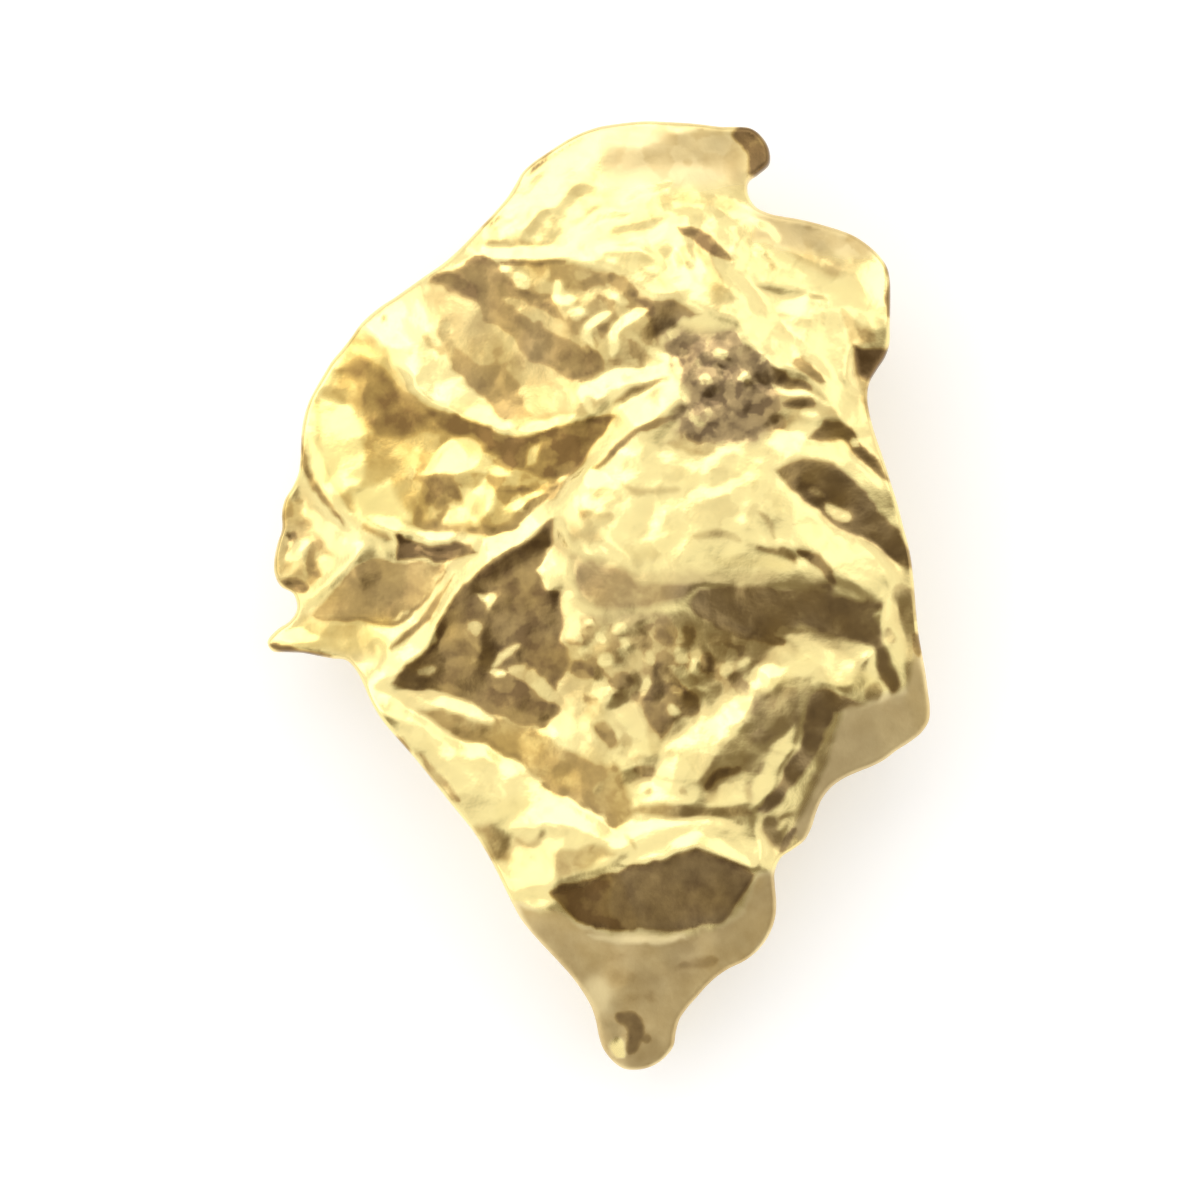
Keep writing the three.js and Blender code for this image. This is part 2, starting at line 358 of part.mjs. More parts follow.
// The back swells down from the edge, dented, and is worn flat where it would pass the rest plane.
function backHeight(p, loop) {
  const run = Math.min(distanceToEdge(p, loop) / BELLY_RUN, 1);
  let height = heightFrom(p, loop) - BELLY_DEPTH * Math.sqrt(1 - (1 - run) ** 2);
  for (const [rise, alongX, alongY, start] of BACK_WAVES) {
    height += rise * Math.sin(alongX * p[0] + alongY * p[1] + start);
  }
  for (const [x, y, long, wide, turn, depth] of BACK_DENTS) {
    const [c, s] = [Math.cos(THREE.MathUtils.degToRad(turn)), Math.sin(THREE.MathUtils.degToRad(turn))];
    const [u, v] = [(p[0] - x) * c + (p[1] - y) * s, (p[1] - y) * c - (p[0] - x) * s];
    height += depth * Math.exp(-((u / long) ** 2) - (v / wide) ** 2);
  }
  return Math.max(height, 0);
}

function backPoints(loop) {
  const points = shoulder(loop, SHOULDER_INSET, (p) => backHeight(p, loop));
  const box = new THREE.Box2().setFromPoints(loop.map((p) => new THREE.Vector2(p[0], p[1])));
  const grid = [];
  const row = BACK_GRID * Math.sqrt(3 / 4);
  for (let j = 0; box.min.y + j * row < box.max.y; j++) {
    for (let i = 0; box.min.x + i * BACK_GRID < box.max.x; i++) {
      grid.push([box.min.x + (i + (j % 2) / 2) * BACK_GRID, box.min.y + j * row, 0]);
    }
  }
  const kept = wellInside(grid, loop, SHOULDER_INSET * 1.6);
  addClear(points, kept.map((p) => [p[0], p[1], backHeight(p, loop)]), SHOULDER_INSET);
  return points;
}

// Delaunay triangles over the plan of the points, counter-clockwise from above. Points join one at a time.
function triangulate(points) {
  const far = 1e3;
  const all = [...points, [-far, -far], [far, -far], [0, far]];
  const circle = (a, b, c) => {
    const [[ax, ay], [bx, by], [cx, cy]] = [all[a], all[b], all[c]];
    const d = 2 * (ax * (by - cy) + bx * (cy - ay) + cx * (ay - by));
    const [sa, sb, sc] = [ax * ax + ay * ay, bx * bx + by * by, cx * cx + cy * cy];
    const x = (sa * (by - cy) + sb * (cy - ay) + sc * (ay - by)) / d;
    const y = (sa * (cx - bx) + sb * (ax - cx) + sc * (bx - ax)) / d;
    return { corners: [a, b, c], x, y, r2: (ax - x) ** 2 + (ay - y) ** 2 };
  };
  let made = [circle(points.length, points.length + 1, points.length + 2)];
  points.forEach(([px, py], index) => {
    const rim = new Map();
    made = made.filter((t) => {
      if ((px - t.x) ** 2 + (py - t.y) ** 2 >= t.r2) return true;
      t.corners.forEach((from, k) => {
        const to = t.corners[(k + 1) % 3];
        if (!rim.delete(to + ">" + from)) rim.set(from + ">" + to, [from, to]);
      });
      return false;
    });
    for (const [from, to] of rim.values()) made.push(circle(from, to, index));
  });
  return made.map((t) => t.corners).filter((t) => t.every((k) => k < points.length));
}

// One side of the nugget: the edge loop comes first, then the points within it.
function side(loop, within) {
  const points = [...loop, ...within];
  const triangles = triangulate(points).filter(([a, b, c]) => {
    const middle = [0, 1].map((k) => (points[a][k] + points[b][k] + points[c][k]) / 3);
    return inside(middle, loop);
  });
  return { within, triangles };
}

function closedGeometry(loop, upper, back) {
  const shift = upper.within.length;
  const backIndex = (k) => (k < loop.length ? k : k + shift);
  const positions = [...loop, ...upper.within, ...back.within].flat();
  const faces = [
    ...upper.triangles.flat(),
    ...back.triangles.flatMap(([a, b, c]) => [backIndex(a), backIndex(c), backIndex(b)]),
  ];
  const geometry = new THREE.BufferGeometry();
  geometry.setAttribute("position", new THREE.Float32BufferAttribute(positions, 3));
  geometry.setIndex(faces);
  geometry.computeBoundingBox();
  const middle = geometry.boundingBox.getCenter(new THREE.Vector3());
  geometry.translate(-middle.x, -middle.y, 0);
  geometry.computeVertexNormals();
  return geometry;
}

function nugget() {
  const loop = curve(EDGE, EDGE_STEP, true);
  const geometry = closedGeometry(loop, side(loop, upperPoints(loop)), side(loop, backPoints(loop)));
  const material = new THREE.MeshStandardMaterial({ color: GOLD, metalness: 1, roughness: 0.25 });
  material.flatShading = true;
  const mesh = new THREE.Mesh(geometry, material);
  mesh.name = "nugget";
  return mesh;
}

const part = new THREE.Group();
part.add(nugget());

export default part;
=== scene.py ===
"""A gold nugget: a fine skin of crests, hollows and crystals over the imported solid, with its stage."""

import math
import random

import bpy
import numpy as np
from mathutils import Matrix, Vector, kdtree
from mathutils.bvhtree import BVHTree
from mathutils.geometry import delaunay_2d_cdt
from mathutils.noise import noise as unevenness


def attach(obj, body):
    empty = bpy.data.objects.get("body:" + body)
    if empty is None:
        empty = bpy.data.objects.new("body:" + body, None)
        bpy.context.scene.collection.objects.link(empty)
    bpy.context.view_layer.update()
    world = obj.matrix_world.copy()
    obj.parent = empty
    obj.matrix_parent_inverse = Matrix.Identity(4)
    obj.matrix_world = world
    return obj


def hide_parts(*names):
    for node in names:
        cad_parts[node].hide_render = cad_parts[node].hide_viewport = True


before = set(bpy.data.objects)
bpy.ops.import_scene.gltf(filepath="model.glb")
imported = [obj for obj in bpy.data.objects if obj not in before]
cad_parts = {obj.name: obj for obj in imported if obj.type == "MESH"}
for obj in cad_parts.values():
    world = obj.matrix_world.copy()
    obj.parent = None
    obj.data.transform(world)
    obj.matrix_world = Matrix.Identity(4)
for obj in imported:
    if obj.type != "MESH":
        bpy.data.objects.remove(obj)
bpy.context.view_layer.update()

bl_info = {
    "name": "Gold Nugget",
    "version": (1, 0, 0),
    "blender": (4, 5, 0),
    "location": "3D View > Sidebar > Nugget",
    "description": "Builds a water-worn gold nugget over its packed solid, and the stage it lies on",
    "category": "Add Mesh",
}

NODE = "nugget"
MM = 0.001

# Lengths in millimetres.
UPPER_GRID = 0.035  # cell of the sheet that the upper side is worked on
BACK_GRID = 0.12  # cell of the sheet that the back is worked on
MARGIN = 0.3  # how far the sheets reach past the outline
RIM = 0.28  # heights are read this far in from the outline, and carried out past it
BASE_BLUR = 0.2  # softens the facets of the solid before the upper side is worked
LAST_BLUR = 0.035  # takes the hardest edges off the worked side
HOLD = 2.0  # over longer stretches than this the worked upper side keeps to the solid's heights
UPPER_LIFT = 0.16  # the worked relief is flatter than the solid's, and this keeps the volume
CROWN_INSET = 0.2  # where the height of the crown beside the outline is taken
CROWN_DROP = (0.12, 0.32)  # how far the widest line lies under the crown, least and most
UPPER_RINGS = (0.01, 0.03, 0.06, 0.1)  # insets of the rings of points inside the outline
UPPER_CLEAR = 0.13  # the even points start this far in
UPPER_ROUND = 0.09  # radius of the upper edge
BACK_RINGS = (0.02, 0.06, 0.11, 0.17, 0.24, 0.32, 0.41, 0.51)
BACK_CLEAR = 0.6
BACK_ROUND = 0.6  # how far in the walls curve round to the back
DENT = 0.16  # deepest dent in the walls and the back
DENT_SIZES = (1.1, 0.5)
DENT_EDGE = 0.35  # dents grow from nothing over this distance from the outline
DENT_FLOOR = 0.6  # and over this height from the floor
FILM_CLOUD = 1.4  # size of the clouds of film on the walls and the back
CLOUD_SHIFT = Vector((9, 0, 0))
CAVITY_BLUR = 0.35  # what lies lower than its surroundings at this scale counts as a hollow

# Speckles to the metre, and the depth of the finest grain in metres.
DARKENING_SPECKLE = 2600.0
CREVICE_SPECKLE = 2000.0
GRAIN_SPECKLE = 7000.0
GRAIN_DEPTH = 0.02 * MM

SIGHT = 20  # rays at the solid start this far off
FAR = 1e9
TINY = 1e-9

# ---------------------------------------------------------------- relief of the upper side
# A line is a list of (x, y) in millimetres. Its left side is to the left of its direction.

# How a face lies: the way it looks in degrees (0 = +X, 90 = +Y), its tilt in degrees, and its brown film,
# partly real oxide and partly painted dark reflection and shade.
BLAZE = (115, 30, 0.0)
GLINT = (115, 20, 0.0)
PALE = (120, 7, 0.0)
# TAN, OLIVE and DARK lean towards the room's dark side, and their film adds painted dark reflection and shade
# on top of some real oxide.
TAN = (300, 5, 0.35)
OLIVE = (300, 10, 0.55)
DARK = (300, 17, 0.55)

# Faces: lean, corners, brown film on top of the lean's own (partly painted dark reflection and shade), width
# of the soft edge.
FACES = {
    "head": [
        (PALE, [(-2.4, 7.05), (-1.7, 8.1), (-1.0, 8.85), (0, 9.4), (1.5, 9.5), (3, 9.4), (3, 8.2),
            (2.8, 6.9), (2.9, 6), (2.6, 5.5), (2, 5.7), (0.9, 6), (0.2, 6.6), (-0.6, 6.7)], 0.16, 0.15),
        (GLINT, [(-1.4, 8.3), (-0.9, 8.75), (-0.1, 9.25), (0.5, 9.3), (0.1, 8.9), (-0.3, 8.4), (-0.9, 7.95),
            (-1.2, 7.4), (-1.6, 7.6)], 0, 0.2),
        (TAN, [(0.1, 8.85), (0.5, 9), (1.3, 8.95), (1.4, 9.4), (2.6, 9.35), (2.95, 8.9), (2.95, 8.15),
            (2.5, 8.6), (1.6, 8.6), (0.2, 8.4)], -0.02, 0.2),
        (GLINT, [(0, 9.1), (0.4, 9.32), (1.1, 9.2), (1.2, 9), (0.5, 9.05)], 0, 0.08),
        (GLINT, [(1.35, 9.45), (1.85, 9.35), (1.7, 9.22), (1.4, 9.28)], 0, 0.06),
        (GLINT, [(1.65, 8.45), (2.2, 8.55), (2.55, 8.25), (3, 7.75), (2.6, 7.85), (2.1, 8), (1.7, 8.2)],
            0, 0.1),
        (TAN, [(0.8, 6.6), (1.2, 6.35), (1.3, 6.1), (0.9, 6.3)], 0.03, 0.1),
        (TAN, [(2, 6.6), (2.4, 6.6), (2.6, 5.9), (2.3, 5.7), (2.1, 6.2)], 0.02, 0.15),
        ((110, 18, 0.0), [(-2.35, 6.98), (-0.5, 6.98), (-0.1, 6.62), (-0.4, 6.52), (-0.6, 6.7),
            (-2.2, 6.75)], 0, 0.03),
        ((300, 19, 0.55), [(2.7, 9.25), (2.8, 9.45), (3.1, 9.4), (3.6, 9.1), (3.6, 8.6), (3.3, 8.4),
            (3, 8.45), (2.95, 8.75), (2.9, 9.05)], 0.5, 0.05),
    ],
    "shoulder": [
        (GLINT, [(2.95, 7), (3.6, 6.9), (4.3, 6.5), (4.9, 6.3), (5.6, 6.6), (5.75, 5.5), (5.6, 5), (5, 5),
            (4.9, 4.4), (5.3, 3.6), (5.7, 2.6), (5.4, 2.6), (4.9, 3.6), (4.4, 4.3), (3.7, 4.6), (3, 5.2),
            (2.7, 6)], 0, 0.15),
        ((75, 5, 0.25), [(3, 7.65), (4, 7.6), (5, 7.35), (5.6, 6.95), (5.2, 6.5), (4.6, 6.4), (4, 6.8),
            (3.5, 7), (2.85, 6.95)], 0.03, 0.15),
        (TAN, [(5, 5.5), (5.4, 5.3), (5.5, 5.05), (5.1, 5)], 0.15, 0.08),
        (DARK, [(4.98, 5), (5.2, 4.9), (5.8, 4.95), (5.6, 4.5), (5.3, 4.3), (5.1, 4.5)], 0.75, 0.08),
        (OLIVE, [(4, 4.8), (4.35, 4.5), (4.7, 4.1), (4.3, 4.2), (4.1, 4.5)], 0.1, 0.06),
        (TAN, [(3.5, 4.35), (3.8, 4.2), (4.3, 4.15), (4.7, 3.9), (4.9, 3.5), (4.4, 3.55), (3.7, 3.5),
            (3.65, 4)], 0, 0.1),
    ],
    "panel": [
        (TAN, [(-3.35, 6.4), (-2.6, 6.7), (-0.6, 6.65), (0.3, 6.4), (0.9, 5.9), (1.2, 5.2), (1.3, 4.9),
            (0.5, 4.3), (-0.3, 3.6), (-1.6, 3.4), (-2.4, 3.9), (-3, 4.4), (-3.2, 5.3)], 0.08, 0.08),
        ((300, 12, 0.7), [(-2.6, 6.75), (-2.1, 6.7), (-1.75, 6.35), (-1.5, 6.1), (-0.9, 6), (-0.7, 5.5),
            (-0.2, 5.1), (0.1, 4.75), (0.15, 4.5), (-0.5, 4.35), (-0.9, 4.6), (-1.4, 4.9), (-1.7, 5.3),
            (-2.2, 5.55), (-2.3, 5.9), (-2.7, 6.1), (-3.4, 6.3), (-3, 6.45)], 0.08, 0.05),
        ((145, 5, 0.27), [(-3.4, 6.15), (-2.8, 6.15), (-2.3, 5.9), (-2.15, 5.5), (-1.6, 5.25), (-1.35, 4.9),
            (-0.8, 4.55), (-0.5, 4.3), (-0.4, 3.7), (-1.4, 3.6), (-1.5, 4.4), (-2.2, 4.9), (-2.8, 5.1),
            (-3, 5.6)], 0.14, 0.05),
        (OLIVE, [(-2.85, 5), (-2.4, 4.8), (-1.9, 4.6), (-1.6, 4.2), (-1.3, 3.6), (-1.7, 3.45), (-2.1, 3.7),
            (-2.3, 4.1), (-2.7, 4.3), (-3, 4.5)], 0.12, 0.06),
        (GLINT, [(-3.45, 6.3), (-3.3, 5.6), (-3.05, 5), (-2.95, 4.6), (-2.5, 4.2), (-2.35, 4.05),
            (-1.75, 3.45), (-1.9, 3.35), (-2.6, 3.7), (-3.3, 3.95), (-3.55, 4.1), (-3.65, 4.5),
            (-3.95, 4.75), (-4.3, 5.1), (-4.7, 5.6), (-4, 6.1), (-3.5, 6.4)], 0, 0.05),
        (GLINT, [(-3.55, 6.4), (-3, 6.8), (-2.5, 7.1), (-2.4, 6.8), (-2.9, 6.5)], 0, 0.05),
        (OLIVE, [(-1.3, 6.62), (-0.5, 6.62), (0, 6.4), (0.2, 6.1), (-0.5, 6.1), (-1.2, 6.4)], 0.08, 0.06),
        (DARK, [(0.75, 5.9), (1.5, 5.85), (2, 5.6), (1.6, 5.45), (1.3, 5.2), (1.15, 5), (1.05, 5.5)],
            0.2, 0.06),
    ],
    "pocket": [
        (TAN, [(-4.75, 5.4), (-4.2, 5), (-3.9, 4.4), (-3.5, 3.9), (-2.4, 3.5), (-1.7, 3.1), (-0.9, 3.3),
            (0.2, 3.7), (0.5, 3.5), (-0.3, 2.8), (-1, 2.1), (-2, 1.3), (-3.2, 1.3), (-4.3, 1.6), (-5, 1.8),
            (-5.6, 2.9), (-5.6, 4)], 0.12, 0.08),
        ((300, 8, 0.4), [(-4.8, 5.45), (-4.5, 5.3), (-4.1, 4.9), (-3.7, 4.3), (-3.9, 4.1), (-4.3, 4.6),
            (-4.7, 4.8), (-5.15, 4.65)], 0, 0.08),
        # Painted shade: the dark pocket and the valley below the panel get thick brown film on top of their
        # lean.
        ((300, 13, 0.82), [(-5.2, 4.6), (-4.7, 4.85), (-4.25, 4.65), (-3.95, 4.2), (-3.5, 3.9), (-3, 3.8),
            (-2.9, 3.45), (-3.9, 3.25), (-4.4, 3.35), (-4.65, 3.7), (-4.7, 4.1), (-4.75, 4.45)], 0, 0.1),
        (DARK, [(-4.4, 4.1), (-4.05, 4.15), (-3.7, 3.85), (-3.3, 3.7), (-3.8, 3.45), (-4.2, 3.5)],
            0.45, 0.12),
        ((105, 28, 0.0), [(-5.6, 4.1), (-4.9, 3.9), (-4.65, 3.4), (-4.6, 2.9), (-4.8, 2.3), (-5.2, 2.2),
            (-5.5, 2.9)], 0, 0.1),
        ((300, 4, 0.5), [(-4.7, 3.2), (-4.2, 3.3), (-3.8, 3.1), (-3.7, 2.6), (-3.9, 2.3), (-4.5, 2.4)],
            0, 0.08),
        (PALE, [(-4.9, 2.2), (-4.2, 2.4), (-3.9, 1.9), (-3.6, 1.6), (-4.3, 1.6), (-4.8, 1.7)], 0, 0.1),
        (DARK, [(-3.4, 3.8), (-3, 3.75), (-2.3, 3.5), (-1.9, 3.25), (-1.3, 3.25), (-0.7, 3.4), (0.1, 3.7),
            (0.45, 3.6), (0.1, 3.1), (-0.3, 2.8), (-0.5, 2.5), (-1.1, 2.45), (-1.35, 2.6), (-1.7, 2.65),
            (-2.2, 2.95), (-2.5, 3.3), (-3, 3.35)], 0.4, 0.05),
        ((100, 24, 0.0), [(-3.55, 2.48), (-2.95, 3.25), (-2.6, 3.25), (-2.1, 2.78), (-1.7, 2.5),
            (-2.1, 2.5), (-2.5, 2.58), (-3, 2.58)], 0, 0.03),
        ((300, 12, 0.72), [(-3.5, 2.42), (-2.85, 2.48), (-2.7, 2), (-3.2, 1.8), (-3.5, 1.95)], 0, 0.06),
        (GLINT, [(-2.75, 2.3), (-2.4, 2.2), (-2.15, 2.4), (-2, 2.2), (-2.1, 1.8), (-2.4, 1.6), (-3.1, 1.5),
            (-3, 1.8), (-2.7, 1.85)], 0, 0.06),
        (TAN, [(-1.45, 2.65), (-1.4, 3), (-1.1, 3.1), (-1.2, 2.7)], 0, 0.05),
        (DARK, [(-4, 1.35), (-3.5, 1.2), (-3, 1.15), (-2.5, 1.1), (-2.4, 0.9), (-2.9, 0.8), (-3.5, 0.85),
            (-3.95, 0.8)], 0.45, 0.05),
    ],
    "leaf": [
        ((200, 5, 0.45), [(-5.77, -0.24), (-5.3, 0.2), (-4.8, 0.69), (-4.5, 0.85), (-3.9, 0.76),
            (-2.95, 0.78), (-3.3, 0.32), (-3.7, -0.15), (-4.15, -0.42), (-4.9, -0.33)], 0.16, 0.035),
        ((130, 32, 0.0), [(-5.9, 1.95), (-5.4, 1.6), (-4.9, 1.3), (-4.6, 1.1), (-4.85, 0.8), (-5.4, 0.35),
            (-5.75, 0.1), (-5.6, 0.5), (-5.3, 0.9), (-5.6, 1.3)], 0, 0.06),
        ((165, 8, 0.22), [(-5.9, -0.25), (-5.4, -0.3), (-4.6, -0.35), (-4.5, -0.8), (-4.2, -1.2),
            (-4.9, -1.15), (-5.5, -1), (-6.4, -0.8)], 0.03, 0.1),
        (GLINT, [(-4.7, -0.4), (-4.2, -0.5), (-3.9, -0.4), (-3.3, 0.3), (-3.1, 0.6), (-2.8, 0.7),
            (-2.5, 0.6), (-3, 0.05), (-3.1, -0.4), (-3.4, -0.9), (-3.9, -1.3), (-4.1, -1.7), (-4, -1.9),
            (-4.3, -2.2), (-4.6, -1.7), (-4.2, -1.1), (-4.2, -0.8), (-4.6, -0.6)], 0, 0.05),
        (TAN, [(-6.45, 0.4), (-6.45, 1.6), (-6.2, 2.1), (-5.9, 1.9), (-5.6, 1.3), (-5.3, 0.9), (-5.7, 0.3),
            (-6, 0.2)], 0.08, 0.08),
    ],
    "hollow": [
        # Painted shade: part of the central hollow's dark is its brown film.
        (DARK, [(-0.8, 1.62), (-1.5, 1.08), (-2.1, 0.68), (-2.75, 0.12), (-3.05, -0.3), (-3.2, -0.75),
            (-3.55, -1.05), (-3.8, -1.3), (-4.1, -1.65), (-3.5, -1.75), (-3, -1.95), (-2, -2.25),
            (-1.5, -2.45), (-1, -2.55), (-0.82, -2.3), (-0.85, -1.9), (-0.6, -1.4), (-0.35, -1.3),
            (-0.7, -0.8), (-0.72, 0.2), (-1, 0.25), (-1.15, 0.6), (-0.95, 0.9)], 0.3, 0.05),
    ],
    "dome": [
        (PALE, [(-0.5, 2.3), (0.2, 2.7), (0.9, 3.2), (1.5, 3.35), (3, 3.1), (3.9, 3), (3.4, 2.5),
            (3.6, 1.5), (3, 0.9), (1.6, 0.8), (0.6, 0.9), (-0.2, 1.6), (-0.7, 1.7)], 0, 0.15),
        ((285, 7, 0.3), [(-0.6, 1.5), (-0.1, 1.5), (0.1, 1.2), (-0.5, 1.1)], 0.05, 0.12),
        ((110, 9, 0.1), [(0.7, 1), (2, 0.95), (3.7, 0.9), (4.35, 0.55), (4.5, 0.32), (1.8, 0.32),
            (0.7, 0.6)], 0, 0.08),
        ((285, 9, 0.5), [(-0.5, 0.9), (0.6, 0.6), (1.5, 0.4), (2, 0.35), (1.7, 0), (1, -0.2), (0.2, -0.2),
            (-0.3, 0), (-0.4, 0.5)], 0.08, 0.15),
        ((70, 16, 0.0), [(3.1, 2), (3.4, 2.4), (3.9, 2.05), (4.3, 1.65), (4.8, 1.2), (5.4, 1), (5.7, 0.6),
            (5.85, 0.2), (5.7, 0.05), (5.2, 0.3), (4.7, 0.6), (4.3, 1), (3.9, 1.1), (3.6, 1.5)], 0, 0.08),
    ],
    "right_side": [
        (DARK, [(3.45, 2.55), (3.9, 2.72), (4.4, 2.72), (4.9, 2.55), (5.1, 2.3), (5.5, 1.9), (5.8, 1.6),
            (6, 1.4), (6.2, 1), (6.25, 0.6), (5.85, 0.75), (5.5, 1.1), (5, 1.3), (4.5, 1.6), (3.9, 2.1)],
            0.15, 0.06),
        (DARK, [(4.1, 3.2), (4.5, 3.5), (4.9, 3.52), (5.2, 3.2), (5.5, 2.8), (5.8, 2.35), (5.5, 2.5),
            (5.1, 2.8), (4.8, 3.05), (4.4, 3.1)], 0.2, 0.05),
        (DARK, [(1.75, -0.1), (2, 0.2), (2.5, 0.3), (3, 0.35), (3.6, 0.25), (4, 0.3), (4.5, 0.35),
            (4.7, 0.05), (5.7, 0.02), (5.5, -0.3), (5.7, -0.9), (5.9, -1.4), (5.95, -1.7), (5.8, -1.85),
            (5.6, -1.6), (5.5, -1), (5.3, -0.85), (4.6, -0.7), (4, -0.5), (3.5, -0.75), (3, -0.65),
            (2.5, -0.6), (2, -0.45)], 0.05, 0.06),
        ((300, 16, 0.3), [(5, -2.1), (5.6, -2), (6.1, -1.8), (6.1, -0.6), (6.3, -0.6), (6.7, -2.2),
            (6.5, -2.7), (5.6, -3.3), (4.7, -3.75), (4.4, -4.2), (4.2, -4.8), (3.9, -4.6), (4.2, -3.6),
            (4.6, -2.7)], 0, 0.08),
        (DARK, [(5.3, -2), (4.9, -1.85), (4.5, -1.68), (4.1, -1.85), (4.05, -2.6), (3.9, -3), (3.6, -3.5),
            (3.2, -4.1), (3.4, -4.2), (3.8, -3.7), (4.2, -3.2), (4.45, -2.7), (4.7, -2.25)], 0.08, 0.05),
    ],
    "granular": [
        ((280, 6, 0.55), [(1.4, 5.2), (1.9, 5.2), (2.9, 5.35), (3.2, 4.9), (3.6, 4.5), (3.65, 4),
            (3.6, 3.4), (3, 3.15), (2.2, 3.1), (1.6, 3.25), (1.5, 3.6), (1.8, 3.9), (1.7, 4.3), (1.4, 4.6),
            (1.3, 5)], 0.28, 0.22),
    ],
    "jumble": [
        ((280, 4, 0.25), [(-0.7, -1.9), (-0.3, -0.5), (0.6, -0.3), (1.7, -0.3), (2, -0.5), (3.4, -0.7),
            (4.2, -1.6), (4, -2.6), (3.2, -4), (0.6, -3.9), (-0.3, -3)], -0.04, 0.12),
        ((300, 9, 0.43), [(-0.6, -0.3), (0.5, -0.2), (1.7, -0.35), (2, -0.55), (3.4, -0.8), (3.2, -1.3),
            (3, -1.8), (2.2, -1.8), (1.7, -1.3), (1.2, -1.3), (0.9, -1.9), (0.1, -2.05), (-0.6, -1.9)],
            0, 0.1),
        (GLINT, [(2, -1.9), (3, -1.88), (2.97, -2.3), (2.7, -2.7), (2.2, -3.1), (1.9, -3.6), (1.2, -3.4),
            (1.25, -3), (1.5, -2.7), (1.9, -2.4)], 0, 0.05),
        (GLINT, [(0.25, -2.15), (0.8, -1.95), (0.9, -2.5), (1.05, -3.1), (0.7, -3), (0.6, -2.5)], 0, 0.05),
        (DARK, [(0.95, -1.6), (1, -2.4), (1.3, -2.75), (1.5, -2.4), (2, -2.2), (1.9, -1.9), (1.5, -1.3),
            (1.2, -1.2)], 0.2, 0.06),
        (GLINT, [(2.1, -4), (2.5, -3.6), (2.95, -3.5), (2.9, -4)], 0, 0.05),
        (GLINT, [(0.55, -3.65), (1.2, -3.5), (2, -3.6), (2, -3.95), (0.9, -4.05)], 0, 0.06),
        ((300, 7, 0.4), [(3, -1.9), (3.9, -1.7), (4, -2.5), (3.6, -2.6), (3.2, -2.95), (2.9, -2.7)],
            0, 0.05),
        ((90, 28, 0.0), [(3.85, -2.45), (3.9, -2.9), (3.6, -3.4), (3.3, -4.05), (3.05, -4.1), (3.1, -3.5),
            (3.35, -3)], 0, 0.04),
        ((115, 24, 0.14), [(3.5, -0.65), (4.3, -0.6), (4.7, -0.8), (5.15, -1), (5.35, -1.5), (5.2, -1.8),
            (4.3, -1.6), (4, -1.3), (3.5, -1)], 0, 0.12),
        ((115, 45, 0.0), [(3.6, -0.6), (4.15, -0.66), (4.6, -0.95), (4.95, -1.05), (5.12, -1.3),
            (5.05, -1.6), (4.7, -1.62), (4.3, -1.25), (3.9, -0.85)], 0, 0.05),
    ],
    "low_plane": [
        ((170, 7, 0.48), [(-3.6, -2.2), (-3, -2.1), (-2, -2.3), (-1.2, -2.5), (-0.9, -2.8), (-0.3, -3.1),
            (0.5, -3.3), (0.6, -3.7), (0.75, -4.2), (0.4, -4.5), (-0.5, -4), (-0.9, -3.7), (-1.4, -3.45),
            (-2.2, -3), (-2.9, -2.7)], 0.06, 0.08),
        ((115, 30, 0.0), [(-3.9, -2.3), (-3.5, -2.3), (-3, -2.7), (-2.2, -3), (-1.5, -3.45), (-0.9, -3.75),
            (-0.2, -4.1), (0.4, -4.5), (0.9, -4.9), (0.3, -4.9), (-0.3, -4.5), (-1, -4.4), (-1.5, -4.6),
            (-2.2, -4.5), (-2.6, -4), (-3, -3.5), (-3.6, -2.9)], 0, 0.06),
        (PALE, [(-2.5, -3.3), (-1.5, -3.9), (-1.2, -4.4), (-1.9, -4.5), (-2.4, -3.8)], 0, 0.15),
        (OLIVE, [(-2.45, -4.5), (-2.1, -4.4), (-1.7, -4.7), (-1.7, -5.2), (-2.1, -5.2), (-2.25, -4.9)],
            -0.1, 0.1),
        (GLINT, [(-1.7, -5), (-1.3, -4.9), (-0.9, -4.6), (-0.9, -5.4), (-1, -5.6), (-1.65, -5.85)],
            0, 0.06),
        (TAN, [(-0.9, -5), (-0.1, -4.8), (0.3, -5), (-0.1, -5.3), (-0.8, -5.55)], 0.05, 0.08),
        (GLINT, [(0.4, -4.5), (1.2, -4.4), (1.9, -4.25), (2.6, -4.35), (3.1, -4.5), (3.3, -4.8),
            (3.2, -5.35), (2.9, -5.3), (2.5, -5.1), (1.95, -4.85), (1.5, -5), (1, -5.15), (0.6, -5.15)],
            0, 0.06),
    ],
    "mouth": [
        # Painted shade: the dark inside of the mouth is brown film on top of its lean.
        (DARK, [(-0.98, -5.78), (-0.5, -5.58), (0.2, -5.52), (0.35, -5.38), (0.6, -5.22), (1, -5.22),
            (1.2, -5.13), (1.5, -5.12), (1.7, -4.98), (1.95, -4.87), (2.2, -5.02), (2.6, -5.17),
            (2.9, -5.38), (3.12, -5.45), (2.95, -5.75), (2.75, -6.1), (2.5, -6.35), (2.1, -6.5),
            (1.6, -6.57), (1, -6.6), (0.2, -6.55), (-0.2, -6.45), (-0.6, -6.2)], 0.24, 0.04),
        (DARK, [(-0.95, -5.8), (-0.3, -5.58), (0.25, -5.52), (0.15, -5.9), (0.25, -6.2), (0.6, -6.55),
            (0, -6.52), (-0.5, -6.25)], 0.5, 0.05),
    ],
    "foot": [
        ((265, 20, 0.4), [(-1.6, -6.1), (-0.9, -6.1), (-0.2, -6.55), (0.2, -6.66), (1, -6.7), (1.7, -6.66),
            (2.5, -6.45), (2.9, -6.2), (3.2, -5.5), (3.6, -5.4), (3.6, -6.4), (2.9, -7.3), (1.9, -8.1),
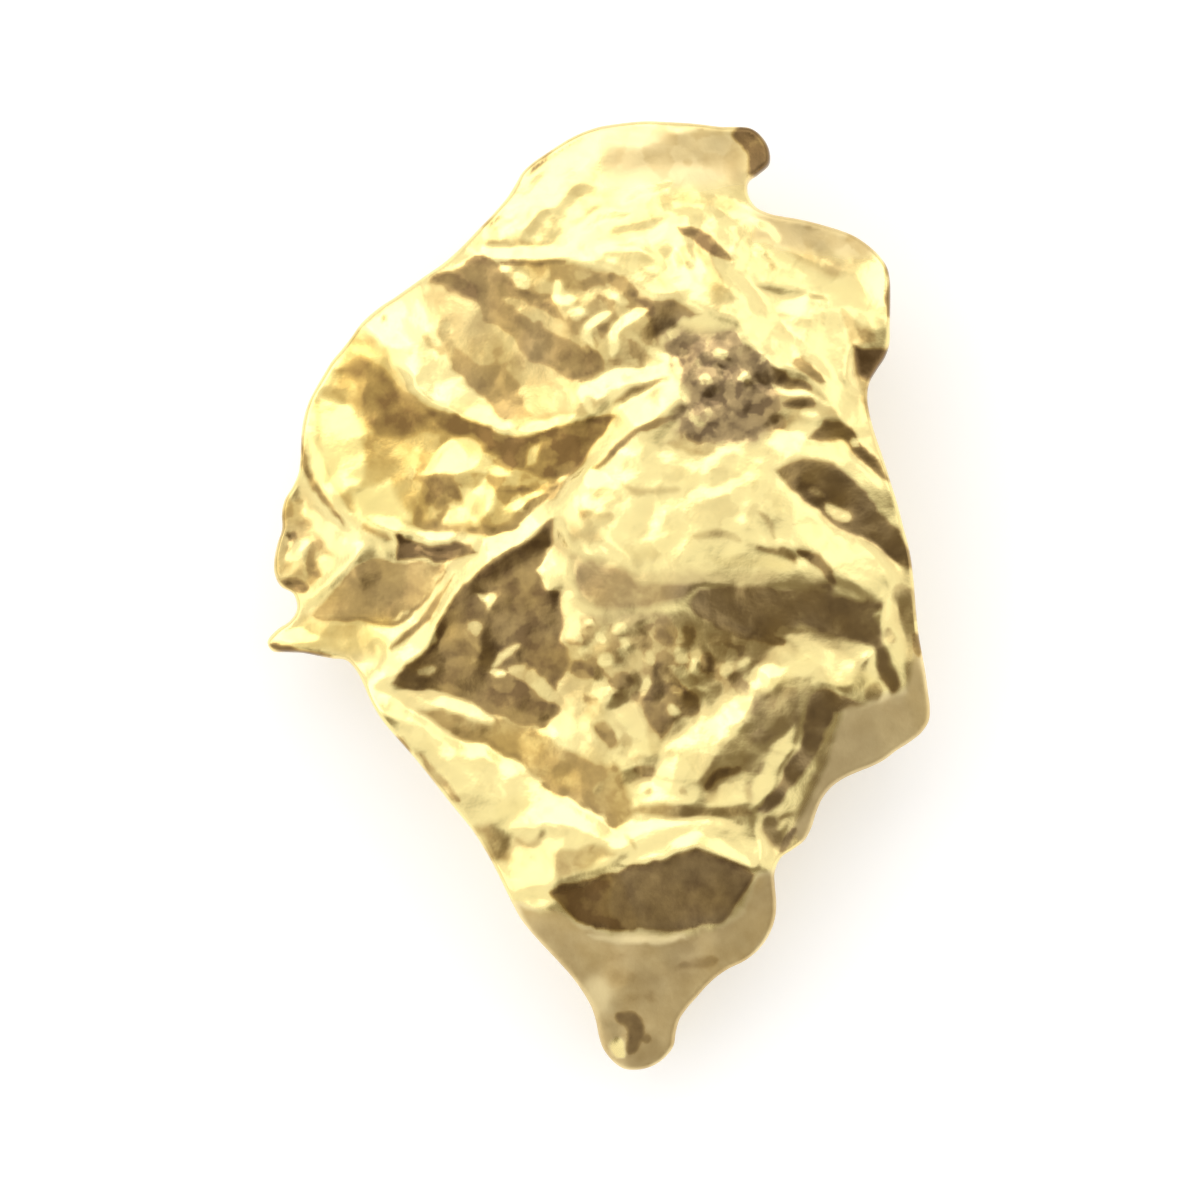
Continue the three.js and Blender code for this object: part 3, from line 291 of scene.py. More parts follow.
            (1.6, -9), (0.9, -9.6), (0.1, -9.2), (-0.2, -8), (-0.9, -7.1)], 0, 0.08),
        ((200, 20, 0.15), [(-0.3, -7.6), (0.3, -7.4), (0.35, -8.3), (0, -8.4), (-0.2, -8)], 0, 0.15),
        (GLINT, [(-1.5, -5.95), (-0.95, -5.85), (-0.9, -6.02), (-1.3, -6.08)], 0, 0.05),
    ],
    "sparks": [
        (GLINT, [(2.05, 7.42), (2.3, 7.5), (2.55, 7.38), (2.72, 7.1), (2.74, 6.8), (2.62, 6.8),
            (2.42, 7.08)], 0, 0.03),
        # Painted shade: full film darkens the small groove under the fold.
        ((300, 17, 1.0), [(1.56, 7.3), (1.85, 7.34), (2.25, 7.17), (2.48, 6.95), (2.64, 6.68), (2.5, 6.7),
            (2.17, 6.88), (1.83, 7.08), (1.62, 7.16)], 0, 0.03),
        (BLAZE, [(-1.2, 0.6), (-0.98, 1.02), (-0.5, 0.95), (-0.6, 0.5), (-0.75, 0.3), (-1, 0.22)],
            0, 0.03),
        (BLAZE, [(-0.68, 0.28), (-0.38, 0.26), (-0.32, -0.8), (-0.66, -0.75)], 0, 0.03),
        (BLAZE, [(-2.45, 0.12), (-2.05, 0.12), (-2.2, -0.25)], 0, 0.03),
        ((115, 24, 0.0), [(2.05, -1.9), (2.97, -1.86), (2.95, -2.3), (2.65, -2.7), (2.25, -3.05),
            (1.95, -3.55), (1.3, -3.3), (1.35, -2.9), (1.9, -2.5)], 0, 0.04),
    ],
}

# Bands: lean, line, half width, brown film on top of the lean's own (partly painted dark reflection and
# shade), and for some the width of the soft edge.
# A band leans squarely to one side of its line, the side that is nearer to its lean.
BANDS = {
    "head": [
        (TAN, [(-0.85, 7.1), (-0.75, 7.5), (-0.6, 7.85), (-0.3, 8.1), (0.4, 8)], 0.12, -0.1),
        (TAN, [(0.9, 8.1), (1.7, 8), (2.4, 7.85), (3, 7.65)], 0.12, -0.1),
        (TAN, [(0.2, 6.8), (0.8, 6.72), (1.5, 6.85)], 0.12, -0.12),
        (TAN, [(-0.3, 7.5), (0.2, 7.8), (0.9, 7.75)], 0.08, -0.15),
        (TAN, [(0.3, 7.3), (0.9, 7.4), (1.5, 7.65)], 0.07, -0.15),
        (TAN, [(1.9, 6.95), (2.15, 6.6), (2.2, 6.1)], 0.08, -0.1),
        (GLINT, [(-0.4, 7.2), (0.1, 7.55), (0.7, 7.6)], 0.12, 0),
        (GLINT, [(0.6, 7.05), (1.1, 7.15), (1.45, 7.45)], 0.1, 0),
        (GLINT, [(-1.9, 7.6), (-1.5, 8.1), (-1.1, 8.5)], 0.16, 0),
        (GLINT, [(1.9, 7.75), (2.4, 7.6), (2.85, 7.3)], 0.1, 0),
        (GLINT, [(-1.1, 7.8), (-0.7, 8.3), (-0.2, 8.8)], 0.13, 0),
        (GLINT, [(0.5, 7.85), (1, 8.1), (1.5, 8.25)], 0.09, 0),
        (GLINT, [(-1.9, 7.25), (-1.5, 7.5), (-1.2, 7.8)], 0.1, 0),
        (GLINT, [(0.8, 6.95), (1.15, 6.75), (1.35, 6.4)], 0.08, 0),
        (GLINT, [(-0.1, 6.95), (0.4, 7), (0.9, 6.9)], 0.08, 0),
        (GLINT, [(1.75, 6.9), (1.95, 6.6), (2, 6.2)], 0.09, 0),
        (GLINT, [(3, 7.55), (3.35, 7.3), (3.6, 7.1)], 0.1, 0),
        (GLINT, [(1.2, 7.75), (1.8, 7.7), (2.2, 7.62)], 0.07, 0),
        (TAN, [(-1.5, 7.1), (-1.25, 7.4), (-0.95, 7.7), (-0.8, 7.75)], 0.07, -0.15),
        (TAN, [(-2.3, 7.09), (-0.9, 7.08)], 0.05, 0.1),
        (GLINT, [(1.5, 6.9), (1.65, 6.4), (1.5, 6.2)], 0.12, 0),
        (GLINT, [(2.3, 6.8), (2.7, 6.2), (2.9, 5.8)], 0.15, 0),
        (OLIVE, [(0.2, 6.38), (0.5, 6.2), (0.75, 5.98)], 0.1, 0.2),
        (GLINT, [(0.3, 6.02), (0.6, 5.8)], 0.07, 0),
        (DARK, [(-2, 6.67), (-0.6, 6.66)], 0.05, 0.3),
        (TAN, [(-1.4, 8.42), (-1.2, 8.62), (-0.9, 8.87)], 0.05, 0.15),
        (TAN, [(-2.3, 7.37), (-2, 7.67)], 0.05, 0.1),
    ],
    "shoulder": [
        (TAN, [(3.3, 6.8), (3.55, 6.5)], 0.07, 0.02),
        (TAN, [(3.1, 6.2), (3.5, 6.1), (4, 6.05)], 0.08, -0.2),
        (OLIVE, [(4.1, 6), (4.55, 5.88)], 0.06, -0.25),
        (TAN, [(4.8, 5.75), (5, 5.35), (4.95, 5.05)], 0.09, 0.05),
        (OLIVE, [(4.05, 7.4), (4.35, 7.3)], 0.06, -0.2),
        (OLIVE, [(4.8, 7.1), (5.1, 7.15)], 0.07, -0.2),
        (OLIVE, [(5.72, 6.75), (5.78, 6.2), (5.76, 5.6)], 0.07, 0.3),
        (DARK, [(2.72, 5.3), (3.1, 4.85), (3.6, 4.38), (4.2, 4.12)], 0.12, 0.25),
        ((55, 24, 0.0), [(2.75, 5.6), (3.15, 5.1), (3.7, 4.6)], 0.2, 0),
        ((55, 26, 0.0), [(2.7, 6.6), (3.2, 5.65), (3.85, 4.95), (4.5, 4.3), (5.1, 3.55), (5.6, 2.8)],
            0.22, 0),
        (OLIVE, [(3.85, 4.72), (4.15, 4.5), (4.35, 4.3)], 0.1, 0.1),
        (GLINT, [(3.4, 4.3), (3.9, 4.1), (4.6, 3.8)], 0.06, 0),
        (TAN, [(5.2, 4.4), (5.33, 3.95), (5.4, 3.6)], 0.1, 0.15),
        (DARK, [(3.65, 3.9), (4, 3.88), (4.25, 3.85)], 0.09, 0.3),
        (GLINT, [(4, 3.7), (4.4, 3.6)], 0.08, 0),
    ],
    "panel": [
        (DARK, [(-2.2, 5.9), (-2.1, 5.6), (-1.6, 5.3), (-1.35, 4.95), (-0.9, 4.75), (-0.5, 4.45)],
            0.1, 0.2),
        (DARK, [(-3.35, 6.33), (-3, 6.4), (-2.6, 6.22), (-2.3, 5.97)], 0.1, 0.35),
        (DARK, [(-2.6, 6.7), (-2.05, 6.65)], 0.08, 0.3),
        (DARK, [(-1.9, 6.3), (-1.6, 6.08), (-1.35, 6)], 0.07, 0.3),
        (TAN, [(-1.9, 6), (-1.2, 5.6), (-0.5, 5.2), (-0.2, 4.9)], 0.12, 0.05),
        (TAN, [(-4.32, 5.72), (-4.25, 5.6)], 0.08, 0.1),
        (TAN, [(-3.45, 5.25), (-3.1, 4.95), (-3.15, 4.8)], 0.08, 0.08),
        (GLINT, [(-1.62, 6.48), (-1.4, 6.12)], 0.13, 0),
        (GLINT, [(-1.92, 6.62), (-1.75, 6.5)], 0.06, 0),
        (GLINT, [(-0.8, 6.32), (-0.75, 6), (-0.45, 5.85)], 0.11, 0),
        (PALE, [(-0.6, 5.7), (-0.25, 5.6)], 0.12, 0),
        (GLINT, [(-3.24, 5.3), (-3.14, 5.08)], 0.08, 0),
        (BLAZE, [(-3.6, 4.42), (-3.3, 4.05)], 0.16, 0),
        (GLINT, [(1.02, 5.66), (0.7, 5.6), (0.42, 5.35), (0.36, 5), (0.3, 4.75)], 0.11, 0),
        (GLINT, [(0.3, 5.62), (0, 5.5), (-0.25, 5.25), (-0.05, 4.92)], 0.08, 0),
        (OLIVE, [(0.15, 5.42), (0.1, 5.15)], 0.09, 0.1),
        (GLINT, [(1.03, 4.97), (1.28, 4.65), (1, 4.42), (0.5, 4.4), (0.1, 4.2), (-0.3, 4.05),
            (-0.15, 3.72)], 0.17, 0),
        (GLINT, [(-1.6, 3.36), (-1, 3.43), (-0.4, 3.62)], 0.09, 0),
        (GLINT, [(-2.9, 3.8), (-2.2, 3.6), (-1.78, 3.3)], 0.1, 0),
    ],
    "pocket": [
        ((60, 6, 0.35), [(-5.25, 4.4), (-5, 4.2), (-5.1, 3.95)], 0.2, 0.1),
        (GLINT, [(-5.78, 3.7), (-5.6, 2.9), (-5.4, 2.35), (-5.1, 1.9), (-4.88, 1.68)], 0.11, 0),
        (OLIVE, [(-5.9, 3.3), (-5.78, 2.6), (-5.58, 2.2), (-5.3, 1.85), (-5, 1.5)], 0.075, 0.12, 0.05),
        (DARK, [(-3.55, 1.9), (-3.5, 1.52), (-3.2, 1.5)], 0.09, 0.2),
        (GLINT, [(-1.65, 1.82), (-1.2, 2.05), (-0.85, 2.12)], 0.09, 0),
        (OLIVE, [(-2.6, 1.4), (-2.1, 1.4), (-1.5, 1.52)], 0.09, 0.2),
        (OLIVE, [(-0.6, 2.4), (-1, 2.1), (-1.4, 1.78), (-1.9, 1.42), (-2.3, 1.25)], 0.1, 0.1),
        (OLIVE, [(-1.95, 2.25), (-1.5, 2.2), (-1, 2.25)], 0.07, 0.15),
        (GLINT, [(-4.7, 1.78), (-4, 1.5), (-3.6, 1.3), (-3.2, 1.25), (-2.85, 1.35)], 0.12, 0),
        (GLINT, [(-2.2, 1.22), (-2.1, 1.1)], 0.13, 0),
        (DARK, [(-4.66, 1.55), (-4.4, 1.36), (-4.08, 1.2)], 0.08, 0),
        ((115, 34, 0.0), [(-4.2, 1.17), (-4.08, 0.92)], 0.12, 0),
    ],
    "leaf": [
        (DARK, [(-4.65, 0.75), (-4.45, 0.35)], 0.22, 0.2),
        (OLIVE, [(-2.75, 0.55), (-3.12, 0.12), (-3.4, -0.3), (-3.75, -0.65), (-4.15, -0.95)], 0.075, 0.2),
        (OLIVE, [(-5.75, -0.26), (-4.9, -0.36), (-4.15, -0.46), (-3.65, -0.15), (-2.95, 0.7)],
            0.045, 0.25),
        (DARK, [(-6.6, -0.94), (-6, -1), (-5.4, -1.1)], 0.06, 0.4),
        (GLINT, [(-6.22, 0.82), (-5.8, 1.15)], 0.1, 0),
        ((115, 26, 0.08), [(-6.45, -0.82), (-6, -0.68), (-5.5, -0.72)], 0.14, 0),
        (GLINT, [(-5.57, 0.8), (-5.3, 0.75)], 0.12, 0),
        (DARK, [(-6.18, 1.32), (-6.05, 1.18)], 0.1, 0.35),
        (DARK, [(-6.35, 0.4), (-5.8, 0.25)], 0.13, 0.4),
        (OLIVE, [(-5.78, 0.98), (-5.7, 0.6), (-5.5, 0.5)], 0.08, 0.2),
        (OLIVE, [(-6.02, 2), (-5.82, 2.02)], 0.06, 0),
        (TAN, [(-5.5, -0.6), (-4.8, -0.62)], 0.12, 0),
    ],
    "spine": [
        (GLINT, [(1.6, 4), (1.1, 3.75), (0.6, 3.5), (0.2, 3.12), (-0.25, 2.72)], 0.2, 0),
        (TAN, [(0.3, 3.85), (0.9, 4.2), (1.45, 4.42)], 0.08, 0.15),
        (OLIVE, [(1.55, 3.58), (1, 3.4), (0.5, 3.12), (0.15, 2.75), (-0.15, 2.62)], 0.07, 0.2),
        (GLINT, [(-0.4, 2.25), (-0.75, 1.87), (-1.2, 1.52), (-1.7, 1.17), (-2.1, 0.87), (-2.5, 0.57),
            (-2.9, 0.2), (-3.1, -0.1)], 0.15, 0),
    ],
    "hollow": [
        (DARK, [(-0.85, 1.6), (-1.5, 1.05), (-2.1, 0.64), (-2.72, 0.08), (-3.05, -0.4), (-3.2, -0.85),
            (-3.8, -1.35)], 0.07, 0.4),
        (DARK, [(-3, -0.6), (-2.7, -0.9), (-2.4, -1.2)], 0.4, 0.15),
        (DARK, [(-4, -1.66), (-3, -1.8), (-2.2, -2.1), (-1.1, -2.35)], 0.12, 0.15),
        (TAN, [(-3.6, -1.38), (-3.2, -1.38)], 0.1, 0),
        (TAN, [(-2.55, -0.5), (-2.3, -0.65)], 0.09, 0),
        (PALE, [(-2.1, -1.3), (-1.5, -0.82)], 0.06, 0.1),
        (GLINT, [(-2.15, -1.42), (-1.85, -1.47)], 0.08, 0),
        (PALE, [(-1.8, -1.4), (-1.35, -1.5), (-1, -1.8), (-0.65, -2.2)], 0.14, 0.22),
        (GLINT, [(-0.62, -2.3), (-0.58, -2.6), (-0.42, -2.95)], 0.17, 0),
        (TAN, [(-0.35, -0.8), (-0.38, -1.2)], 0.09, 0),
        (DARK, [(-0.82, 0.2), (-0.82, -0.8)], 0.08, 0.35),
    ],
    "dome": [
        (TAN, [(1.4, 3.15), (1.75, 3.0), (2.3, 2.95)], 0.12, 0.05),
        (TAN, [(0.45, 2.3), (0.8, 2.15), (1.2, 2.12), (1.6, 2.2)], 0.07, -0.05),
        (TAN, [(1.9, 1.25), (2.4, 1.3), (2.85, 1.15)], 0.1, -0.08),
        (TAN, [(-0.35, 1.75), (0, 1.55), (0.3, 1.65)], 0.12, -0.05),
        (GLINT, [(-0.35, 2.42), (0.2, 2.38)], 0.17, 0),
        (GLINT, [(0.6, 2.85), (1.1, 2.95), (1.4, 2.8)], 0.12, 0),
        (GLINT, [(1.2, 1.85), (1.25, 1.55)], 0.12, 0),
        (GLINT, [(2.1, 2.05), (2.4, 2.12)], 0.1, 0),
        (GLINT, [(1.7, 2.55), (1.9, 2.65)], 0.1, 0),
        (GLINT, [(-0.2, 0.95), (0.1, 0.98)], 0.08, 0),
        ((110, 9, 0.28), [(0.6, 0.52), (1.6, 0.46), (2.6, 0.42), (3.6, 0.4), (4.4, 0.32)], 0.13, 0, 0.1),
        (OLIVE, [(3.1, 1.02), (3.6, 0.95), (4.18, 0.62)], 0.07, 0),
        (GLINT, [(2.9, 1.62), (3.1, 1.3), (3.3, 1.05)], 0.12, 0),
        (TAN, [(3.12, 1.75), (3.35, 1.5), (3.45, 1.15)], 0.06, 0.05),
        (OLIVE, [(3.9, 0.97), (4.2, 0.87), (4.45, 0.6), (4.6, 0.3)], 0.09, 0.2),
        (GLINT, [(3.85, 0.82), (4.18, 0.58)], 0.12, 0),
        (TAN, [(5.9, 0.3), (6.15, 0), (6.25, -0.4)], 0.2, 0.05),
    ],
    "right_side": [
        (TAN, [(4.15, 2.22), (4.45, 2.05)], 0.07, 0),
        ((70, 17, 0.0), [(4.45, 1.88), (4.98, 1.65)], 0.11, 0),
        (PALE, [(4, 2.93), (4.6, 2.93), (5, 2.6), (5.4, 2.15), (5.8, 1.7), (6.02, 1.5)], 0.12, 0),
        (GLINT, [(4.98, 3.15), (5.12, 3.05)], 0.1, 0),
        (DARK, [(2.3, -0.5), (3, -0.6), (3.7, -0.85)], 0.12, 0.2),
        (GLINT, [(5.5, -0.15), (5.6, -0.25)], 0.1, 0),
        (TAN, [(5.72, -0.5), (5.82, -0.85)], 0.1, 0),
        (GLINT, [(5.25, -1.05), (5.38, -1.12)], 0.14, 0),
        (OLIVE, [(6.3, -0.6), (6.42, -1.1)], 0.08, 0.2),
        (TAN, [(5.3, -1.7), (5.6, -1.9)], 0.15, 0),
        (TAN, [(4.35, -3.2), (4.7, -2.75)], 0.12, 0),
        (TAN, [(3.4, -4.25), (3.6, -4.9)], 0.15, 0.1),
        (GLINT, [(3.8, -4.25), (3.62, -4.55)], 0.11, 0),
        (DARK, [(3.95, -4.5), (3.65, -5)], 0.08, 0.2),
    ],
    "granular": [
        (PALE, [(1.4, 5.25), (1.6, 5.2)], 0.1, 0.1),
        (PALE, [(2.25, 4.85), (2.5, 4.8)], 0.1, 0.15),
        (PALE, [(1.55, 4.8), (1.65, 4.4)], 0.09, 0.2),
        (PALE, [(2.75, 4.35), (3, 4.35)], 0.11, 0.1),
        (PALE, [(3.15, 4.75), (3.25, 4.65)], 0.08, 0.15),
        (PALE, [(2.1, 3.65), (2.2, 3.6)], 0.08, 0.2),
        (TAN, [(1.8, 3.5), (2.1, 3.55), (2.4, 3.9)], 0.1, 0),
        (TAN, [(2, 4.35), (2.25, 4.35)], 0.12, 0),
        (DARK, [(2.4, 4.6), (2.65, 4.55)], 0.1, 0.35),
        (DARK, [(2.05, 3.95), (2.4, 4)], 0.12, 0.4),
        (DARK, [(3.1, 4.35), (3.2, 4.1), (3.45, 4.2)], 0.13, 0.35),
        (DARK, [(2.7, 3.85), (3, 3.8)], 0.1, 0.25),
        (DARK, [(1.7, 3.25), (2.1, 3.18)], 0.1, 0.25),
        (DARK, [(2.6, 3.3), (2.85, 3.28)], 0.1, 0.25),
        (DARK, [(3.4, 3.6), (3.6, 3.35)], 0.1, 0.3),
    ],
    "jumble": [
        (GLINT, [(0.3, -0.6), (0.62, -0.52)], 0.1, 0),
        (GLINT, [(0.95, -1), (1.15, -1.25)], 0.08, 0.05),
        (GLINT, [(-0.35, -0.85), (-0.25, -1.05)], 0.07, 0.1),
        (GLINT, [(1.4, -2.05), (1.55, -2.3)], 0.09, 0.05),
        (GLINT, [(-0.3, -2.45), (-0.15, -2.8)], 0.12, 0),
        (GLINT, [(0.35, -3.1), (0.75, -3.35)], 0.12, 0),
        (GLINT, [(2.75, -1.3), (3, -1.15)], 0.08, 0.1),
        (GLINT, [(0.45, -0.88), (0.58, -0.8)], 0.1, 0),
        (PALE, [(0, -0.8), (0.12, -0.7)], 0.12, 0),
        (PALE, [(-0.15, -0.5), (-0.12, -0.4)], 0.08, 0),
        (PALE, [(0, -1.25), (0.3, -1.1)], 0.1, 0),
        (GLINT, [(-0.12, -1.85), (0.3, -1.75)], 0.22, 0),
        (GLINT, [(1.95, -1.1), (2, -1.45)], 0.1, 0),
        (PALE, [(1.6, -0.9), (1.75, -1.2)], 0.12, 0),
        (GLINT, [(2.4, -1.45), (2.65, -1.3)], 0.12, 0),
        (GLINT, [(2.05, -1.6), (2.4, -1.9)], 0.2, 0),
        (GLINT, [(3.05, -1.6), (3.6, -1.35)], 0.24, 0),
        ((110, 13, 0.0), [(3.4, -1.4), (4.3, -1.3)], 0.13, 0),
        (TAN, [(3.6, -0.55), (3.75, -0.65)], 0.1, 0),
        (TAN, [(1.5, -1.8), (1.65, -1.7)], 0.12, 0),
        (GLINT, [(1, -1.4), (0.95, -1.8)], 0.08, 0),
        (DARK, [(2.1, -3.7), (2.45, -3.38), (2.85, -3.28)], 0.1, 0.2),
        (DARK, [(-0.5, -1.2), (-0.1, -1.5)], 0.15, 0.2),
        (DARK, [(0.2, -1.6), (0.7, -1.5)], 0.15, 0.15),
        (DARK, [(1, -0.6), (1.6, -0.7)], 0.2, 0.12),
        (OLIVE, [(0, -2.4), (0.35, -2.9)], 0.15, 0.1),
        (TAN, [(-0.3, -2.1), (0.1, -2.3)], 0.12, 0),
        (DARK, [(0.7, -3.35), (1.15, -3.4)], 0.1, 0.15),
        (DARK, [(2.2, -1), (2.2, -1.4)], 0.1, 0.15),
        (TAN, [(1, -3.85), (1.1, -3.7)], 0.08, 0.05),
        (TAN, [(1.65, -3.8), (1.75, -3.65)], 0.08, 0.05),
    ],
    "low_plane": [
        ((115, 24, 0.06), [(-4, -1.86), (-3.4, -1.92), (-2.7, -2.15), (-2, -2.42)], 0.14, 0),
        ((130, 34, 0.0), [(-4.5, -1.85), (-4.15, -2.08), (-3.75, -2.3)], 0.17, 0),
        (OLIVE, [(-3, -2.5), (-2.2, -2.85), (-1.4, -3.3), (-0.7, -3.75), (0, -4.2)], 0.07, 0.1),
        (BLAZE, [(-3.8, -2.2), (-2.95, -2.75), (-2.2, -3.05), (-1.4, -3.5), (-0.6, -4), (0.3, -4.55)],
            0.11, 0),
        (GLINT, [(-3.3, -2.8), (-2.6, -3.3), (-1.9, -4)], 0.14, 0),
        (BLAZE, [(0.35, -5.2), (1.1, -5.02), (1.85, -4.72), (2.4, -4.92), (3.1, -5.3)], 0.12, 0),
        (BLAZE, [(0.6, -4.5), (1.9, -4.28), (3, -4.5)], 0.1, 0),
        (OLIVE, [(-2.75, -2.6), (-2.2, -2.88)], 0.1, 0.1),
        (OLIVE, [(-0.9, -3.4), (-0.5, -3.3)], 0.13, 0.1),
        (OLIVE, [(-1.1, -3.58), (-0.6, -3.88)], 0.1, 0.12),
        (OLIVE, [(0.1, -4.2), (0.42, -4.42)], 0.1, 0.1),
        (TAN, [(-1.4, -3.2), (-0.95, -3.3)], 0.2, 0.12),
        (TAN, [(-0.05, -3.8), (0, -3.5)], 0.1, 0.12),
        (OLIVE, [(-4.0, -2.72), (-3.72, -3.05)], 0.09, 0.05),
        (OLIVE, [(-3, -3.78), (-2.75, -4.05)], 0.08, 0.05),
        (TAN, [(-3.62, -3.02), (-3.2, -3.52), (-2.85, -3.9)], 0.08, 0.12),
        (TAN, [(-1.6, -4.75), (-1.35, -4.9), (-1, -4.55)], 0.05, 0),
        (TAN, [(0.7, -4.16), (1.5, -4.13), (2.4, -4.13), (3.1, -4.16)], 0.12, 0.12),
        (TAN, [(0.5, -4.6), (0.8, -4.85)], 0.05, 0.03),
    ],
    "foot": [
        (DARK, [(-0.95, -5.8), (-0.4, -5.62), (0.3, -5.5), (0.6, -5.28), (1.2, -5.22), (1.9, -4.98),
            (2.5, -5.2), (3, -5.48), (2.75, -6), (2.4, -6.35)], 0.06, 0.35),
        ((90, 8, 0.1), [(-0.2, -6.68), (0.8, -6.78), (1.8, -6.72)], 0.08, 0),
        ((265, 20, 0.48), [(0.45, -7), (0.4, -7.75)], 0.24, 0, 0.2),
        ((265, 20, 0.6), [(1.6, -7.28), (2.4, -7.22)], 0.1, 0, 0.08),
        ((265, 20, 0.48), [(0.6, -7.92), (1.2, -7.9)], 0.12, 0, 0.12),
        (DARK, [(0.45, -8.33), (0.72, -8.48), (0.82, -8.8), (0.65, -9.15)], 0.14, 0.3),
        (TAN, [(0.3, -8.5), (0.42, -8.75)], 0.1, 0),
        ((115, 38, 0.0), [(0.32, -8.82), (0.4, -9), (0.44, -9.2)], 0.15, 0),
        ((290, 17, 0.5), [(0.95, -8.85), (1.15, -8.85)], 0.08, 0.2),
    ],
}

# The crease under the pocket: line, width on the left, width on the right, height.
CREASE = ([(-3.95, 1.22), (-3.4, 1.08), (-2.6, 1.0)], 0.14, 0.18, -0.1)

# Lumps and pits: x, y, half length, half width, turn in degrees, height.
LUMPS = [
    (0.65, -0.45, 0.22, 0.13, 20, 0.06), (1.95, -1.25, 0.12, 0.24, -20, 0.06),
        (3.4, -1.5, 0.22, 0.2, 0, 0.06),
    (0.25, -1.82, 0.16, 0.14, 0, 0.06), (2.5, -1.4, 0.15, 0.13, 0, 0.05), (-6, 1, 0.2, 0.14, 40, 0.06),
    (2.5, 4.55, 0.16, 0.1, 0, -0.08), (2.2, 3.97, 0.18, 0.12, 0, -0.08),
        (3.3, 4.2, 0.18, 0.12, -30, -0.08),
    (2.85, 4.35, 0.18, 0.12, 10, 0.06), (2.4, 4.82, 0.16, 0.1, -15, 0.06),
        (3.5, 3.5, 0.12, 0.12, 0, -0.06),
    (-6.12, 1.25, 0.1, 0.1, 0, -0.06), (-6.05, 0.33, 0.22, 0.1, 0, -0.06),
        (5.35, -1.1, 0.15, 0.15, 0, 0.05),
]

# Patches of small crystal faces: corners, face size, most tilt, most change of film, seed, and for some the
# width of the soft edge.
GRAINS = [
    ([(-2.2, 7.2), (-1, 8.9), (1, 9.4), (2.8, 9.2), (2.8, 7), (5.5, 7.3), (5.7, 5.3), (2.8, 5.4),
        (0.5, 6.4)], 0.42, 7, 0.12, 18),
    ([(-0.5, 2), (1, 3.2), (3.8, 2.9), (5.5, 0.8), (3.6, 1), (1, 0.6), (-0.4, 1)], 0.36, 8, 0.14, 19),
    ([(1.3, 5.2), (2.9, 5.3), (3.6, 4.5), (3.7, 3.5), (2.6, 3.1), (1.6, 3.2), (1.5, 4.2)],
        0.16, 18, 0.3, 11, 0.25),
    ([(-0.5, -0.3), (1.6, -0.4), (3.3, -0.8), (3.4, -1.5), (3.0, -1.9), (2.0, -1.9), (0.4, -2.0),
        (-0.6, -2.2)], 0.25, 14, 0.2, 12, 0.12),
    ([(0.1, -2.0), (3.0, -1.9), (3.5, -3.0), (3.0, -4.0), (0.6, -3.9), (-0.2, -3.0)],
        0.3, 9, 0.15, 13, 0.12),
    ([(-1.3, 6.6), (0.2, 6.4), (1.4, 5.6), (1.2, 4.4), (-0.4, 3.9), (-0.4, 5.2)],
        0.28, 10, 0.18, 14, 0.12),
    ([(-3.6, 3.6), (-0.4, 3.4), (-0.3, 2.8), (-1.6, 1.4), (-3.2, 1.4), (-3.8, 2.4)],
        0.3, 9, 0.18, 15, 0.12),
    ([(-0.9, 1.2), (-2.6, -0.1), (-3.8, -1.6), (-1.0, -2.3), (-0.8, -0.5)], 0.34, 7, 0.15, 16, 0.12),
    ([(-5.9, 2.6), (-5.2, 1.6), (-5.6, 0.3), (-6.3, 0.3), (-6.4, 1.4)], 0.24, 10, 0.15, 17, 0.1),
]

# Worn, matte faces: corners, how matte from 0 to 1, width of the soft edge.
WORN = [
    ([(-1.9, -5.9), (-0.6, -6.3), (0.2, -6.62), (1.3, -6.68), (2.3, -6.55), (2.9, -6.1), (3.2, -5.4),
        (3.8, -5.3), (3.8, -6.6), (2.0, -9.8), (0.0, -9.8), (-0.5, -7.9)], 1.0, 0.1),
    ([(4.9, -2.1), (6.1, -1.7), (6.4, -0.8), (6.9, -1.8), (6.9, -2.6), (4.4, -4.9), (3.9, -4.6),
        (4.4, -3.6)], 1.0, 0.1),
    ([(3.0, 7.8), (5.9, 7.2), (5.4, 6.8), (3.1, 7.05)], 0.9, 0.15),
    ([(0.1, 9.4), (2.9, 9.3), (2.9, 8.3), (1.5, 8.1), (0.2, 8.25)], 0.9, 0.2),
    ([(-0.9, -5.9), (0.2, -5.5), (1.95, -4.85), (3.1, -5.5), (2.6, -6.3), (1.0, -6.6), (-0.3, -6.4)],
        0.6, 0.1),
]

